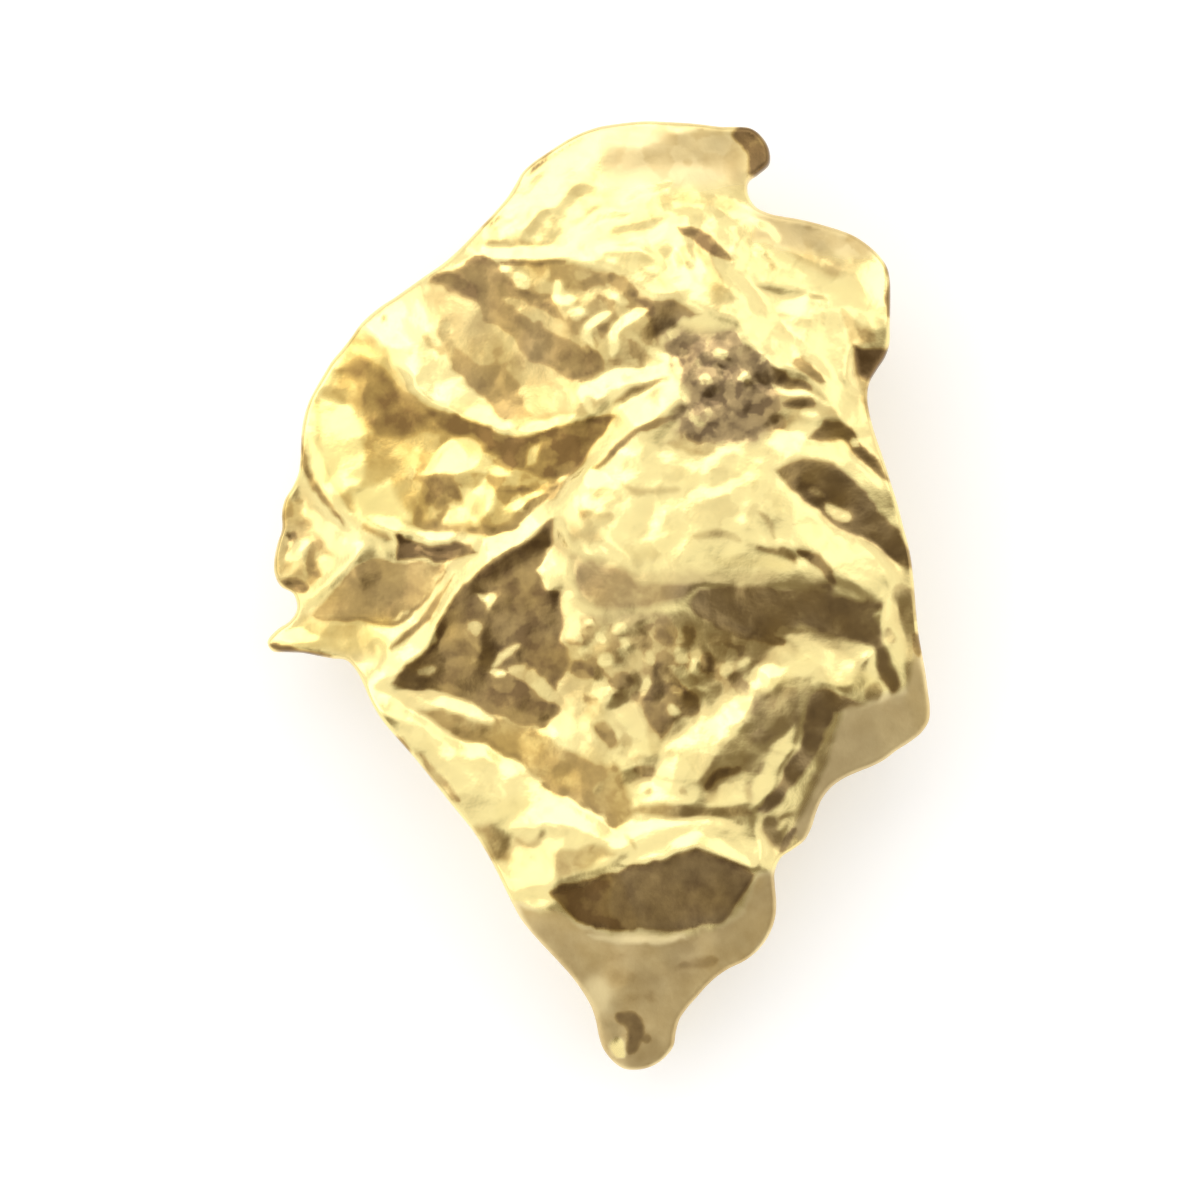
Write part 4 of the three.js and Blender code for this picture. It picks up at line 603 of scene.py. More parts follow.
# Hue of the film and the metal: corners, from -1 (ash grey) to 1 (rust), width of the soft edge.
HUES = [
    ([(-4.9, 5.4), (-4.2, 5), (-3.6, 4), (-1.8, 3.3), (0.3, 3.8), (0.5, 3.5), (-1, 2.1), (-2.1, 1.3),
        (-4.6, 1.5), (-5.6, 2.4), (-5.8, 4)], 1.0, 0.3),
    ([(-3.8, -2.1), (-0.8, -2.7), (0.8, -3.4), (0.6, -4.4), (-1.4, -3.5)], 0.3, 0.2),
    ([(-5.9, -0.3), (-4.2, -0.4), (-4.1, -1.1), (-6.4, -0.9)], 0.8, 0.15),
    ([(1.2, 5.6), (3.2, 5.2), (3.8, 3.8), (3.2, 3), (1.4, 3.2)], -1.0, 0.2),
    ([(-0.5, 0.9), (2, 0.7), (5.6, 0.3), (6, -1.8), (4.6, -0.8), (1.7, -0.5), (-0.4, -0.4)], -0.8, 0.2),
    ([(2.9, -1.8), (6.1, -1.8), (6.5, -2.8), (3.8, -5), (3.1, -4.2)], -0.9, 0.2),
    ([(-1.9, -6.2), (0.2, -6.7), (2.9, -6.2), (3.6, -5.2), (3.8, -6.6), (2, -9.8), (0, -9.8), (-0.5, -7.9)],
        -0.5, 0.2),
    ([(0.4, -5.4), (2, -4.9), (3.1, -5.5), (2.6, -6.4), (0.9, -6.6)], -0.5, 0.1),
    ([(-1, -5.8), (0.25, -5.5), (0.2, -6.1), (0.6, -6.6), (-0.6, -6.3)], 0.7, 0.08),
    ([(3.8, 2.7), (5.1, 2.6), (6.3, 0.8), (5.4, 0.8), (3.8, 2)], -0.5, 0.2),
]


def curve(a, b, c, d, count):
    """Points from b towards c on the Catmull-Rom curve through a, b, c and d."""
    t = np.linspace(0, 1, count, endpoint=False)[:, None]
    return 0.5 * (2 * b + (c - a) * t + (2 * a - 5 * b + 4 * c - d) * t**2 + (3 * b - a - 3 * c + d) * t**3)


def smooth_line(points, step=0.08):
    """Points along a smooth curve through the given ones, about step apart."""
    p = np.asarray(points, float)
    if len(p) < 3:
        count = max(2, int(np.hypot(*(p[-1] - p[0])) / step) + 1)
        return p[0] + (p[-1] - p[0]) * np.linspace(0, 1, count)[:, None]
    ends = np.vstack([2 * p[0] - p[1], p, 2 * p[-1] - p[-2]])
    made = []
    for a, b, c, d in zip(ends, ends[1:], ends[2:], ends[3:]):
        made.append(curve(a, b, c, d, max(1, int(np.hypot(*(c - b)) / step))))
    return np.vstack([*made, p[-1:]])


def ease(t):
    """A smooth step from 0 to 1."""
    t = np.clip(t, 0, 1)
    return t * t * (3 - 2 * t)


def within(x, y, corners):
    """Which of the places lie inside the polygon, by the sides crossed on the way out."""
    odd = np.zeros(np.shape(x), bool)
    for (ax, ay), (bx, by) in zip(corners, np.roll(corners, -1, axis=0)):
        if ay != by:
            odd ^= ((ay > y) != (by > y)) & (x < (bx - ax) * (y - ay) / (by - ay) + ax)
    return odd


def blur(values, cells):
    """A Gaussian blur of cells standard deviation along both axes."""
    reach = max(1, int(cells * 3))
    kernel = np.exp(-0.5 * (np.arange(-reach, reach + 1) / cells) ** 2)
    kernel /= kernel.sum()
    for axis in (0, 1):
        padded = np.pad(values, [(reach, reach) if k == axis else (0, 0) for k in (0, 1)], mode="edge")
        values = np.apply_along_axis(np.convolve, axis, padded, kernel, "valid")
    return values


class Sheet:
    """One side on a square grid, in millimetres: its heights, film (tone, partly painted dark reflection and
    shade), wear and hue (rust).

    The strays bend the edges of what is drawn on it, so that they aren't ruler straight.
    """

    def __init__(self, low, high, step):
        self.low, self.step = np.asarray(low, float), step
        self.x = np.arange(low[0], high[0] + step, step)
        self.y = np.arange(low[1], high[1] + step, step)
        self.X, self.Y = np.meshgrid(self.x, self.y)
        for field in ("height", "tone", "wear", "rust", "stray_x", "stray_y"):
            setattr(self, field, np.zeros_like(self.X))

    def window(self, points, reach):
        """The part of the sheet within reach of the points."""
        low, high = np.min(points, 0) - reach, np.max(points, 0) + reach
        ends = (np.array([low, high + self.step]) - self.low) / self.step
        (i, j), (i_end, j_end) = np.clip(ends, 0, (len(self.x), len(self.y))).astype(int)
        return slice(j, j_end), slice(i, i_end)

    def near_line(self, points, reach, closed=False):
        """For the cells round a line: where they are, their distance, their place along it from 0 to 1,
        their side of it and its direction there."""
        line = np.vstack([points, points[:1]]) if closed else smooth_line(points)
        part = self.window(line, reach)
        x, y = self.X[part] + self.stray_x[part], self.Y[part] + self.stray_y[part]
        best, along, side = np.full(x.shape, FAR), np.zeros(x.shape), np.ones(x.shape)
        way = np.zeros(x.shape)
        run = np.concatenate([[0], np.cumsum(np.hypot(*np.diff(line, axis=0).T))])
        for (ax, ay), (bx, by), start, end in zip(line, line[1:], run, run[1:]):
            ux, uy = bx - ax, by - ay
            t = np.clip(((x - ax) * ux + (y - ay) * uy) / max(ux * ux + uy * uy, 1e-12), 0, 1)
            dx, dy = x - ax - t * ux, y - ay - t * uy
            d = np.hypot(dx, dy)
            near = d < best
            best[near] = d[near]
            along[near] = (start + t * (end - start))[near]
            side[near] = np.where(ux * dy - uy * dx >= 0, 1.0, -1.0)[near]
            way[near] = math.atan2(uy, ux)
        return part, best, along / max(run[-1], TINY), side, way

    def inside(self, corners, soft):
        """For the cells round a polygon: where they are, and how far inside, from 0 to 1 over soft."""
        corners = np.asarray(corners, float)
        part, d = self.near_line(corners, soft * 2, closed=True)[:2]
        x, y = self.X[part] + self.stray_x[part], self.Y[part] + self.stray_y[part]
        return part, ease(0.5 + np.where(within(x, y, corners), d, -d) / soft / 2)

    def crease(self, points, left, right, height):
        """A raised or sunk line with flat flanks that fades out at both ends."""
        part, d, along, side, _ = self.near_line(points, max(left, right))
        flank = 1 - np.clip(d / np.where(side > 0, left, right), 0, 1)
        self.height[part] += height * flank * np.clip(4 * along * (1 - along), 0, 1) ** 0.4

    def lean(self, part, mask, way, tilt):
        """Turns the slopes in a part of the sheet towards a lean. The way may change from cell to cell."""
        steep = -math.tan(math.radians(tilt))
        self.slope_x[part] += mask * (steep * np.cos(way) - self.slope_x[part])
        self.slope_y[part] += mask * (steep * np.sin(way) - self.slope_y[part])

    def face(self, lean, corners, darkening, soft):
        """A flat face with the given lean, and a brown film that is partly painted dark reflection and shade.
        """
        part, mask = self.inside(corners, soft)
        self.lean(part, mask, math.radians(lean[0]), lean[1])
        self.tone[part] += mask * (lean[2] + darkening - self.tone[part])

    def band(self, lean, points, half, darkening, soft=0.04):
        """A narrow face along a line, pointed at both ends, with a brown film that is partly painted dark
        reflection and shade. One without film is polished.
        """
        part, d, along, _, run = self.near_line(points, half + soft)
        width = 1.15 * half * np.clip(4 * along * (1 - along), 0, 1) ** 0.45
        mask = ease(0.5 + (width - d) / soft / 2)
        way = math.radians(lean[0])
        square = run + math.pi / 2
        square = np.where(np.cos(square - way) < 0, square + math.pi, square)
        self.lean(part, mask, square, lean[1])
        if not lean[2]:
            self.wear[part] *= 1 - mask
        self.tone[part] += mask * (lean[2] + darkening - self.tone[part])

    def open_slopes(self):
        """Starts the slopes that faces, bands and grains change. Settle turns them back into heights."""
        self.slope_y, self.slope_x = np.gradient(self.height, self.step)

    def settle(self, reach):
        """Finds the unbroken surface whose slopes are nearest to the worked ones.

        Over lengths above reach it is held to the old heights.
        """
        rows, columns = self.height.shape
        hold = 1 / reach**2
        fall = -hold * self.height
        between_x = (self.slope_x[:, 1:] + self.slope_x[:, :-1]) / 2
        between_y = (self.slope_y[1:] + self.slope_y[:-1]) / 2
        fall += np.diff(np.pad(between_x, ((0, 0), (1, 1))), axis=1) / self.step
        fall += np.diff(np.pad(between_y, ((1, 1), (0, 0))), axis=0) / self.step
        mirrored = np.block([[fall, fall[:, ::-1]], [fall[::-1], fall[::-1, ::-1]]])
        wave_y = 2 * np.cos(np.pi * np.arange(2 * rows) / rows) - 2
        wave_x = 2 * np.cos(np.pi * np.arange(columns + 1) / columns) - 2
        waves = np.fft.rfft2(mirrored) / ((wave_y[:, None] + wave_x[None]) / self.step**2 - hold)
        self.height = np.fft.irfft2(waves, mirrored.shape)[:rows, :columns]

    def lump(self, x, y, long, wide, turn, height):
        """A soft oval lump, or a pit where the height is negative."""
        part = self.window([(x, y)], 2.2 * max(long, wide))
        c, s = math.cos(math.radians(turn)), math.sin(math.radians(turn))
        dx, dy = self.X[part] - x, self.Y[part] - y
        along, across = (dx * c + dy * s) / long, (dy * c - dx * s) / wide
        self.height[part] += height * np.exp(-(along**2) - across**2)

    def grains(self, corners, cell, tilt, darkening, seed, soft=0.2, calm=None):
        """Breaks a patch into little crystal faces, each with a tilt and a film of its own."""
        draw = random.Random(seed)
        low, high = np.min(corners, 0) - cell, np.max(corners, 0) + cell
        best = np.full_like(self.height, FAR)
        add = np.zeros((3, *best.shape))
        for _ in range(int(np.prod(high - low) / cell**2)):
            sx, sy = draw.uniform(low[0], high[0]), draw.uniform(low[1], high[1])
            stretch, turn = draw.uniform(0.6, 1.0), draw.uniform(0, math.pi)
            steep = math.tan(math.radians(draw.uniform(0.3, 1) * tilt))
            way, darkness = draw.uniform(0, 2 * math.pi), draw.uniform(-darkening, darkening)
            part = self.window([(sx, sy)], 2.2 * cell)
            dx, dy = self.X[part] - sx, self.Y[part] - sy
            along = dx * math.cos(turn) + dy * math.sin(turn)
            across = dy * math.cos(turn) - dx * math.sin(turn)
            d = np.hypot(along * stretch, across / stretch)
            near = d < best[part]
            best[part][near] = d[near]
            for layer, value in zip(add, (steep * math.cos(way), steep * math.sin(way), darkness)):
                layer[part][near] = value
        part, mask = self.inside(corners, soft)
        if calm is not None:
            mask = mask * (1 - calm[part])
        self.slope_x[part] += mask * add[0][part]
        self.slope_y[part] += mask * add[1][part]
        self.tone[part] += mask * add[2][part]

    def patch(self, field, corners, amount, soft):
        """Adds an amount to a field inside a polygon."""
        part, mask = self.inside(corners, soft)
        field[part] += amount * mask

    def mottle(self, size, seed):
        """Soft unevenness over the whole sheet, of the given grain size."""
        draw = np.random.default_rng(seed)
        small = draw.standard_normal([int(n * self.step / size) + 6 for n in self.X.shape])
        u = (self.Y - self.low[1]) / size + 1.5
        v = (self.X - self.low[0]) / size + 1.5
        i, j = u.astype(int), v.astype(int)
        fu, fv = ease(u - i), ease(v - j)
        top = small[i, j] * (1 - fv) + small[i, j + 1] * fv
        low = small[i + 1, j] * (1 - fv) + small[i + 1, j + 1] * fv
        return top * (1 - fu) + low * fu

    def sample(self, field, places):
        """The field's values at any places, from the four cells round each."""
        u = np.clip((places[:, 0] - self.low[0]) / self.step, 0, len(self.x) - 1.001)
        v = np.clip((places[:, 1] - self.low[1]) / self.step, 0, len(self.y) - 1.001)
        i, j = u.astype(int), v.astype(int)
        fu, fv = u - i, v - j
        low = field[j, i] * (1 - fu) + field[j, i + 1] * fu
        high = field[j + 1, i] * (1 - fu) + field[j + 1, i + 1] * fu
        return low * (1 - fv) + high * fv


def edge_loop(solid):
    """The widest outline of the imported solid, counter-clockwise, as (x, y, z) in millimetres."""
    mesh = solid.data
    places = np.array([v.co for v in mesh.vertices]) / MM
    _, first, same = np.unique(np.round(places, 4), axis=0, return_index=True, return_inverse=True)
    same = same.reshape(-1)
    follows = {}
    sides = {}
    for face in mesh.polygons:
        ring = [int(same[k]) for k in face.vertices]
        for a, b in zip(ring, ring[1:] + ring[:1]):
            sides[(a, b)] = face.normal.z > 0
    for (a, b), up in sides.items():
        if up and not sides[(b, a)]:
            follows[a] = b
    start = next(iter(follows))
    loop, here = [], start
    while True:
        loop.append(places[first[here]])
        here = follows[here]
        if here == start:
            return np.array(loop)


def fine_loop(loop, step):
    """The outline as a smooth closed curve with points step apart."""
    ring = np.vstack([loop[-1:], loop, loop[:2]])
    dense = np.vstack([curve(*corners, 12) for corners in zip(ring, ring[1:], ring[2:], ring[3:])])
    closed = np.vstack([dense, dense[:1]])
    run = np.concatenate([[0], np.cumsum(np.hypot(*np.diff(closed[:, :2], axis=0).T))])
    count = int(run[-1] / step)
    places = np.linspace(0, run[-1], count, endpoint=False)
    return np.stack([np.interp(places, run, closed[:, k]) for k in range(3)], axis=1)


def is_inside(places, loop):
    """Which of the places lie inside the outline."""
    return within(places[:, 0], places[:, 1], loop[:, :2])


def nearest(places, loop):
    """Distance to the outline and the outline's height there, for each place."""
    tree = kdtree.KDTree(len(loop))
    for k, p in enumerate(loop):
        tree.insert((p[0], p[1], 0), k)
    tree.balance()
    found = [tree.find((x, y, 0)) for x, y in places[:, :2]]
    return np.array([f[2] for f in found]), loop[[f[1] for f in found], 2]


def hex_points(loop, step, clear):
    """Even points inside the outline and clear of it."""
    low, high = loop[:, :2].min(0), loop[:, :2].max(0)
    rows = np.arange(low[1], high[1], step * math.sqrt(0.75))
    across = [np.arange(low[0] + (k % 2) * step / 2, high[0], step) for k in range(len(rows))]
    places = np.vstack([np.stack([x, np.full_like(x, y)], 1) for x, y in zip(across, rows)])
    places = places[is_inside(places, loop)]
    return places[nearest(places, loop)[0] > clear]


def ring_points(loop, inset):
    """A ring of points at one distance inside the outline."""
    ahead = np.roll(loop, -1, axis=0) - np.roll(loop, 1, axis=0)
    inward = np.stack([-ahead[:, 1], ahead[:, 0]], 1) / np.hypot(ahead[:, 0], ahead[:, 1])[:, None]
    places = loop[:, :2] + inward * inset
    places = places[is_inside(places, loop)]
    return places[nearest(places, loop)[0] > inset * 0.9]


def from_solid(solid, sheet, loop, upward, rim=0.0):
    """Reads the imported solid's heights onto a sheet. Those from a rim's width in are carried outwards."""
    mesh = solid.data
    tree = BVHTree.FromPolygons([v.co / MM for v in mesh.vertices], [p.vertices for p in mesh.polygons])
    start, way = (SIGHT, Vector((0, 0, -1))) if upward else (-SIGHT, Vector((0, 0, 1)))
    flat = np.stack([sheet.X.ravel(), sheet.Y.ravel()], 1)
    hits = [tree.ray_cast(Vector((x, y, start)), way)[0] for x, y in flat]
    found = np.array([h is not None for h in hits])
    heights = np.array([h.z if h is not None else 0.0 for h in hits])
    heights[~found] = nearest(flat[~found], loop)[1]
    sheet.height[:] = heights.reshape(sheet.X.shape)
    if rim:
        known = found.copy()
        known[found] = nearest(flat[found], loop)[0] > rim
        known = known.reshape(sheet.X.shape).astype(float)
        for spread in (0.15, 0.4):
            share = blur(known, spread / sheet.step)
            carried = blur(sheet.height * known, spread / sheet.step) / np.maximum(share, TINY)
            new = (known == 0) & (share > 0.02)
            sheet.height[new] = carried[new]
            known[new] = 1


# ---------------------------------------------------------------- detail


def work_upper(sheet):
    """Works the crests, hollows and crystals into the upper side."""
    sheet.height = blur(sheet.height, BASE_BLUR / sheet.step)
    sheet.open_slopes()
    sheet.stray_x = 0.035 * sheet.mottle(0.4, 5) + 0.018 * sheet.mottle(0.14, 6)
    sheet.stray_y = 0.035 * sheet.mottle(0.4, 7) + 0.018 * sheet.mottle(0.14, 8)
    for rows in FACES.values():
        for row in rows:
            sheet.face(*row)
    for corners, amount, soft in WORN:
        sheet.patch(sheet.wear, corners, amount, soft)
    for corners, amount, soft in HUES:
        sheet.patch(sheet.rust, corners, amount, soft)
    sheet.rust += 0.25 * sheet.mottle(0.6, 9)
    for rows in BANDS.values():
        for row in rows:
            sheet.band(*row)
    calm = np.clip(sheet.wear, 0, 0.9)
    (left, low), (right, high) = sheet.low, (sheet.x[-1], sheet.y[-1])
    whole = [(left, low), (right, low), (right, high), (left, high)]
    sheet.grains(whole, 0.5, 6, 0.05, 21, calm=calm)
    sheet.grains(whole, 0.22, 7, 0.06, 22, calm=calm)
    for row in GRAINS:
        sheet.grains(*row)
    sheet.settle(HOLD)
    sheet.crease(*CREASE)
    for row in LUMPS:
        sheet.lump(*row)
    sheet.height += 0.02 * sheet.mottle(0.9, 3) + 0.008 * sheet.mottle(0.35, 4)
    sheet.height = blur(sheet.height, LAST_BLUR / sheet.step) + UPPER_LIFT


def work_back(sheet):
    """Rubs and pits the back. It keeps above the floor."""
    soft = blur(sheet.height, 1.5)
    pits = np.clip(sheet.mottle(0.5, 31) - 0.9, 0, 1) + 0.5 * np.clip(sheet.mottle(0.3, 32) - 1.2, 0, 1)
    bumps = 0.09 * sheet.mottle(1.1, 33) + 0.05 * sheet.mottle(0.5, 34) + 0.02 * sheet.mottle(0.25, 37)
    clear = ease(soft / 0.4)
    sheet.height = np.maximum(soft + clear * bumps + 0.12 * pits, 0)
    sheet.tone = np.clip(0.25 + 0.16 * sheet.mottle(0.8, 35) + 0.1 * sheet.mottle(0.3, 38) + 0.6 * pits, 0, 1)
    sheet.wear = np.clip(0.4 + 0.3 * sheet.mottle(1.2, 36), 0, 1)
    sheet.rust = 0.5 * sheet.mottle(1.0, 39)


# ---------------------------------------------------------------- mesh


def rounded(distance, width):
    """The share of its height that a rounded edge has reached at a distance in from the outline."""
    return np.sqrt(1 - (1 - np.clip(distance / width, 0, 1)) ** 2)


def side_points(loop, step, insets, clear):
    """All the points of one side: rings along the outline, then even points."""
    rings = [ring_points(loop, inset) for inset in insets]
    return np.vstack([*rings, hex_points(loop, step, clear)])


def knock(mesh, first, distance):
    """Dents the walls and the back inwards, and gives their film. The flat that rests on the floor stays."""
    darkening = []
    coarse, fine = DENT_SIZES
    # Moving a point changes the normals round it, so they are all read first.
    normals = [vertex.normal.copy() for vertex in mesh.vertices[first:]]
    for vertex, normal, d in zip(mesh.vertices[first:], normals, distance):
        p = vertex.co / MM
        lumps = 0.5 + 0.7 * unevenness(p / coarse) + 0.3 * unevenness(p / fine)
        share = min(d / DENT_EDGE, 1) * min(max(p.z, 0) / DENT_FLOOR, 1)
        moved = p - normal * DENT * share * min(max(lumps, 0), 1)
        vertex.co = Vector((moved.x, moved.y, max(moved.z, 0))) * MM
        clouds = 0.45 * unevenness(p / FILM_CLOUD + CLOUD_SHIFT)
        darkening.append(0.22 + clouds + 0.3 * unevenness(p / fine) - 0.25 * (lumps - 0.5))
    return np.clip(darkening, 0, 1)


def triangles(loop, points):
    """The triangles between the outline and a side's points, as places in the list of both."""
    flat = [Vector(p) for p in np.vstack([loop[:, :2], points])]
    count = len(loop)
    edges = [(k, (k + 1) % count) for k in range(count)]
    places, _, faces, origin, _, _ = delaunay_2d_cdt(flat, edges, [], 1, 1e-7, True)
    back = np.array([o[0] for o in origin])
    places = np.array([tuple(p) for p in places])
    faces = np.array(faces)
    return back[faces[is_inside(places[faces].mean(axis=1), loop)]].tolist()


def add_field(mesh, name, *parts):
    """Stores one value for each point of the mesh, for the material to read."""
    made = mesh.attributes.new(name, "FLOAT", "POINT")
    made.data.foreach_set("value", np.concatenate(parts).astype(np.float32))


def rise(sheet, places, loop, radius):
    """The heights of a side's points, rounded down to the outline, and how far in from it they are."""
    d, edge = nearest(places, loop)
    return edge + (sheet.sample(sheet.height, places) - edge) * rounded(d, radius), d


def build_skin(size):
    """The nugget's one closed surface: the outline, the upper side and the back, with their fields."""
    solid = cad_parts[NODE]
    loop = fine_loop(edge_loop(solid), size.edge_step / MM)
    low, high = loop[:, :2].min(0) - MARGIN, loop[:, :2].max(0) + MARGIN
    upper, back = Sheet(low, high, UPPER_GRID), Sheet(low, high, BACK_GRID)
    from_solid(solid, upper, loop, True, RIM)
    from_solid(solid, back, loop, False)
    work_upper(upper)
    work_back(back)

    inner = ring_points(loop, CROWN_INSET)
    crown = nearest(loop, np.column_stack([inner, upper.sample(upper.height, inner)]))[1]
    least, most = CROWN_DROP
    loop[:, 2] = np.clip(loop[:, 2], crown - most, crown - least)
    top = side_points(loop, size.upper_step / MM, UPPER_RINGS, UPPER_CLEAR)
    under = side_points(loop, size.back_step / MM, BACK_RINGS, BACK_CLEAR)
    top_z, _ = rise(upper, top, loop, UPPER_ROUND)
    under_z, depth = rise(back, under, loop, BACK_ROUND)
    under_z = np.maximum(under_z, 0)

    faces = triangles(loop, top)
    count, shift = len(loop), len(top)
    faces += [[k if k < count else k + shift for k in face[::-1]] for face in triangles(loop, under)]
    places = np.vstack([loop, np.column_stack([top, top_z]), np.column_stack([under, under_z])]) * MM
    mesh = bpy.data.meshes.new("nugget_skin")
    mesh.from_pydata(places.tolist(), [], faces)
    mesh.shade_smooth()

    darkening = knock(mesh, count + shift, depth)
    # The hollow field drives painted shade in the material: deeper gold and more brown in hollows.
    cavity, hole = [blur(side.height, CAVITY_BLUR / side.step) - side.height for side in (upper, back)]
    fields = {"hollow": (cavity, -hole)}
    for name in ("tone", "wear", "rust"):
        fields[name] = (getattr(upper, name), getattr(back, name))
    for name, (over, below) in fields.items():
        outline = (upper.sample(over, loop) + back.sample(below, loop)) / 2
        beneath = darkening if name == "tone" else back.sample(below, under)
        add_field(mesh, name, outline, upper.sample(over, top), beneath)
    body = bpy.data.objects.new("nugget_skin", mesh)
    bpy.context.scene.collection.objects.link(body)
    return body


# ---------------------------------------------------------------- gold


def gold_material(look):
    """Native gold: bare on crests, deeper in hollows as painted shade, paler where worn, with a mottled brown
    film that is partly real oxide and partly painted dark reflection and shade.
    """
    material = bpy.data.materials.new("native_gold")
    material.use_nodes = True
    tree = material.node_tree
    nodes, links = tree.nodes, tree.links
    shader = nodes["Principled BSDF"]
    shader.inputs["Metallic"].default_value = 1.0
    place = nodes.new("ShaderNodeTexCoord")

    def field(name):
        node = nodes.new("ShaderNodeAttribute")
        node.attribute_name = name
        return node.outputs["Fac"]

    def speckle(scale, detail):
        node = nodes.new("ShaderNodeTexNoise")
        node.inputs["Scale"].default_value = scale
        node.inputs["Detail"].default_value = detail
        links.new(place.outputs["Object"], node.inputs["Vector"])
        return node.outputs["Fac"]

    def spread(value, low, high, to_low=0.0, to_high=1.0):
        node = nodes.new("ShaderNodeMapRange")
        for name, number in (("From Min", low), ("From Max", high), ("To Min", to_low), ("To Max", to_high)):
            node.inputs[name].default_value = number
        links.new(value, node.inputs["Value"])
        return node.outputs["Result"]

    def maths(kind, one, two):
        node = nodes.new("ShaderNodeMath")
        node.operation = kind
        links.new(one, node.inputs[0])
        links.new(two, node.inputs[1])
        return node.outputs["Value"]

    def mix(share, one, two):
        node = nodes.new("ShaderNodeMix")
        node.data_type = "RGBA"
        links.new(share, node.inputs["Factor"])
        for socket, colour in (("A", one), ("B", two)):
            if isinstance(colour, bpy.types.NodeSocket):
                links.new(colour, node.inputs[socket])
            else:
                node.inputs[socket].default_value = (*colour, 1)
        return node.outputs["Result"]

    hollow, tone, wear, rust = field("hollow"), field("tone"), field("wear"), field("rust")
    metal = mix(spread(rust, 0.0, 1.0), look.gold, look.rich_gold)
    # Painted shade: the metal turns a deeper gold in hollows.
    metal = mix(spread(hollow, 0.0, 0.25), metal, look.hollow_shade_gold)
    metal = mix(spread(wear, 0.0, 1.0), metal, look.worn_gold)
    # The brown film and the brown in crevices are partly real oxide and partly painted dark reflection and
    # shade.
    darkening = maths("MULTIPLY", tone, spread(speckle(DARKENING_SPECKLE, 3.0), 0.3, 0.7, 0.82, 1.15))
    patchy = spread(speckle(CREVICE_SPECKLE, 2.0), 0.3, 0.7, 0.5, 1.2)
    crevice_stain_and_shade = maths("MULTIPLY", spread(hollow, 0.06, 0.3, 0.0, 0.5), patchy)
    darkness = maths("MAXIMUM", darkening, crevice_stain_and_shade)
    hue = spread(rust, -1.0, 1.0)
    half_darkened = mix(spread(darkness, 0.0, 0.55), metal, mix(hue, look.ash_film_and_shade, look.rust_film_and_shade))
    darkened = mix(spread(darkness, 0.45, 1.0), half_darkened, mix(hue, look.ash_stain_and_shade, look.rust_stain_and_shade))
    links.new(darkened, shader.inputs["Base Color"])
    links.new(spread(wear, 0.0, 1.0, look.gloss, look.matte), shader.inputs["Roughness"])
    bump = nodes.new("ShaderNodeBump")
    bump.inputs["Strength"].default_value = 0.3
    bump.inputs["Distance"].default_value = GRAIN_DEPTH
    links.new(speckle(GRAIN_SPECKLE, 4.0), bump.inputs["Height"])
    links.new(bump.outputs["Normal"], shader.inputs["Normal"])
    return material


# ---------------------------------------------------------------- stage
# In metres and degrees.

FLOOR_HALF = 0.6
ROOM = {
    "bright": (0.96, 0.95, 0.94),
    "shade": (0.27, 0.23, 0.18),
    "azimuth": 300,
    "elevation": 44,
    "near": 13,
    "far": 42,
}
LIGHT_DISTANCE = 0.13
# Softboxes: name, azimuth, elevation, width, height, radiance.
LIGHTS = (
    ("light_north", 110, 52, 0.13, 0.08, 1.0),
    ("light_west", 175, 48, 0.10, 0.07, 0.5),
    ("light_east", 30, 45, 0.07, 0.06, 0.5),
)
CAMERA_AIM = (0.00005, 0.00002, 0.0025)
CAMERA_CLIP = (0.001, 10)


def toward(azimuth, elevation):
    """The unit vector at an azimuth and an elevation in degrees."""
    a, e = math.radians(azimuth), math.radians(elevation)
    return Vector((math.cos(a) * math.cos(e), math.sin(a) * math.cos(e), math.sin(e)))


def softbox(name, azimuth, elevation, distance, width, height, radiance):
    """A rectangular light that looks at the origin, of the given radiance."""
    data = bpy.data.lights.new(name, "AREA")
    data.shape = "RECTANGLE"
    data.size, data.size_y = width, height
    data.energy = radiance * math.pi * width * height
    light = bpy.data.objects.new(name, data)
    way = toward(azimuth, elevation)
    light.location = way * distance
    light.rotation_mode = "QUATERNION"
    light.rotation_quaternion = way.to_track_quat("Z", "Y")
    bpy.context.scene.collection.objects.link(light)
    return light


def sky(bright, shade, azimuth, elevation, near, far):
    """A bright room with one soft dark side. Near and far are the angles from its middle where it ends."""
    world = bpy.data.worlds.new("studio_room")
    bpy.context.scene.world = world
    world.use_nodes = True
    nodes, links = world.node_tree.nodes, world.node_tree.links
    place = nodes.new("ShaderNodeTexCoord")
    facing = nodes.new("ShaderNodeVectorMath")
    facing.operation = "DOT_PRODUCT"
    facing.inputs[1].default_value = toward(azimuth, elevation)
    links.new(place.outputs["Generated"], facing.inputs[0])
    side = nodes.new("ShaderNodeMapRange")
    side.interpolation_type = "SMOOTHSTEP"
    side.inputs["From Min"].default_value = math.cos(math.radians(far))
    side.inputs["From Max"].default_value = math.cos(math.radians(near))
    links.new(facing.outputs["Value"], side.inputs["Value"])
    blend = nodes.new("ShaderNodeMix")
    blend.data_type = "RGBA"
    blend.inputs["A"].default_value = (*bright, 1)
    blend.inputs["B"].default_value = (*shade, 1)
    links.new(side.outputs["Result"], blend.inputs["Factor"])
    links.new(blend.outputs["Result"], nodes["Background"].inputs["Color"])


# ---------------------------------------------------------------- settings


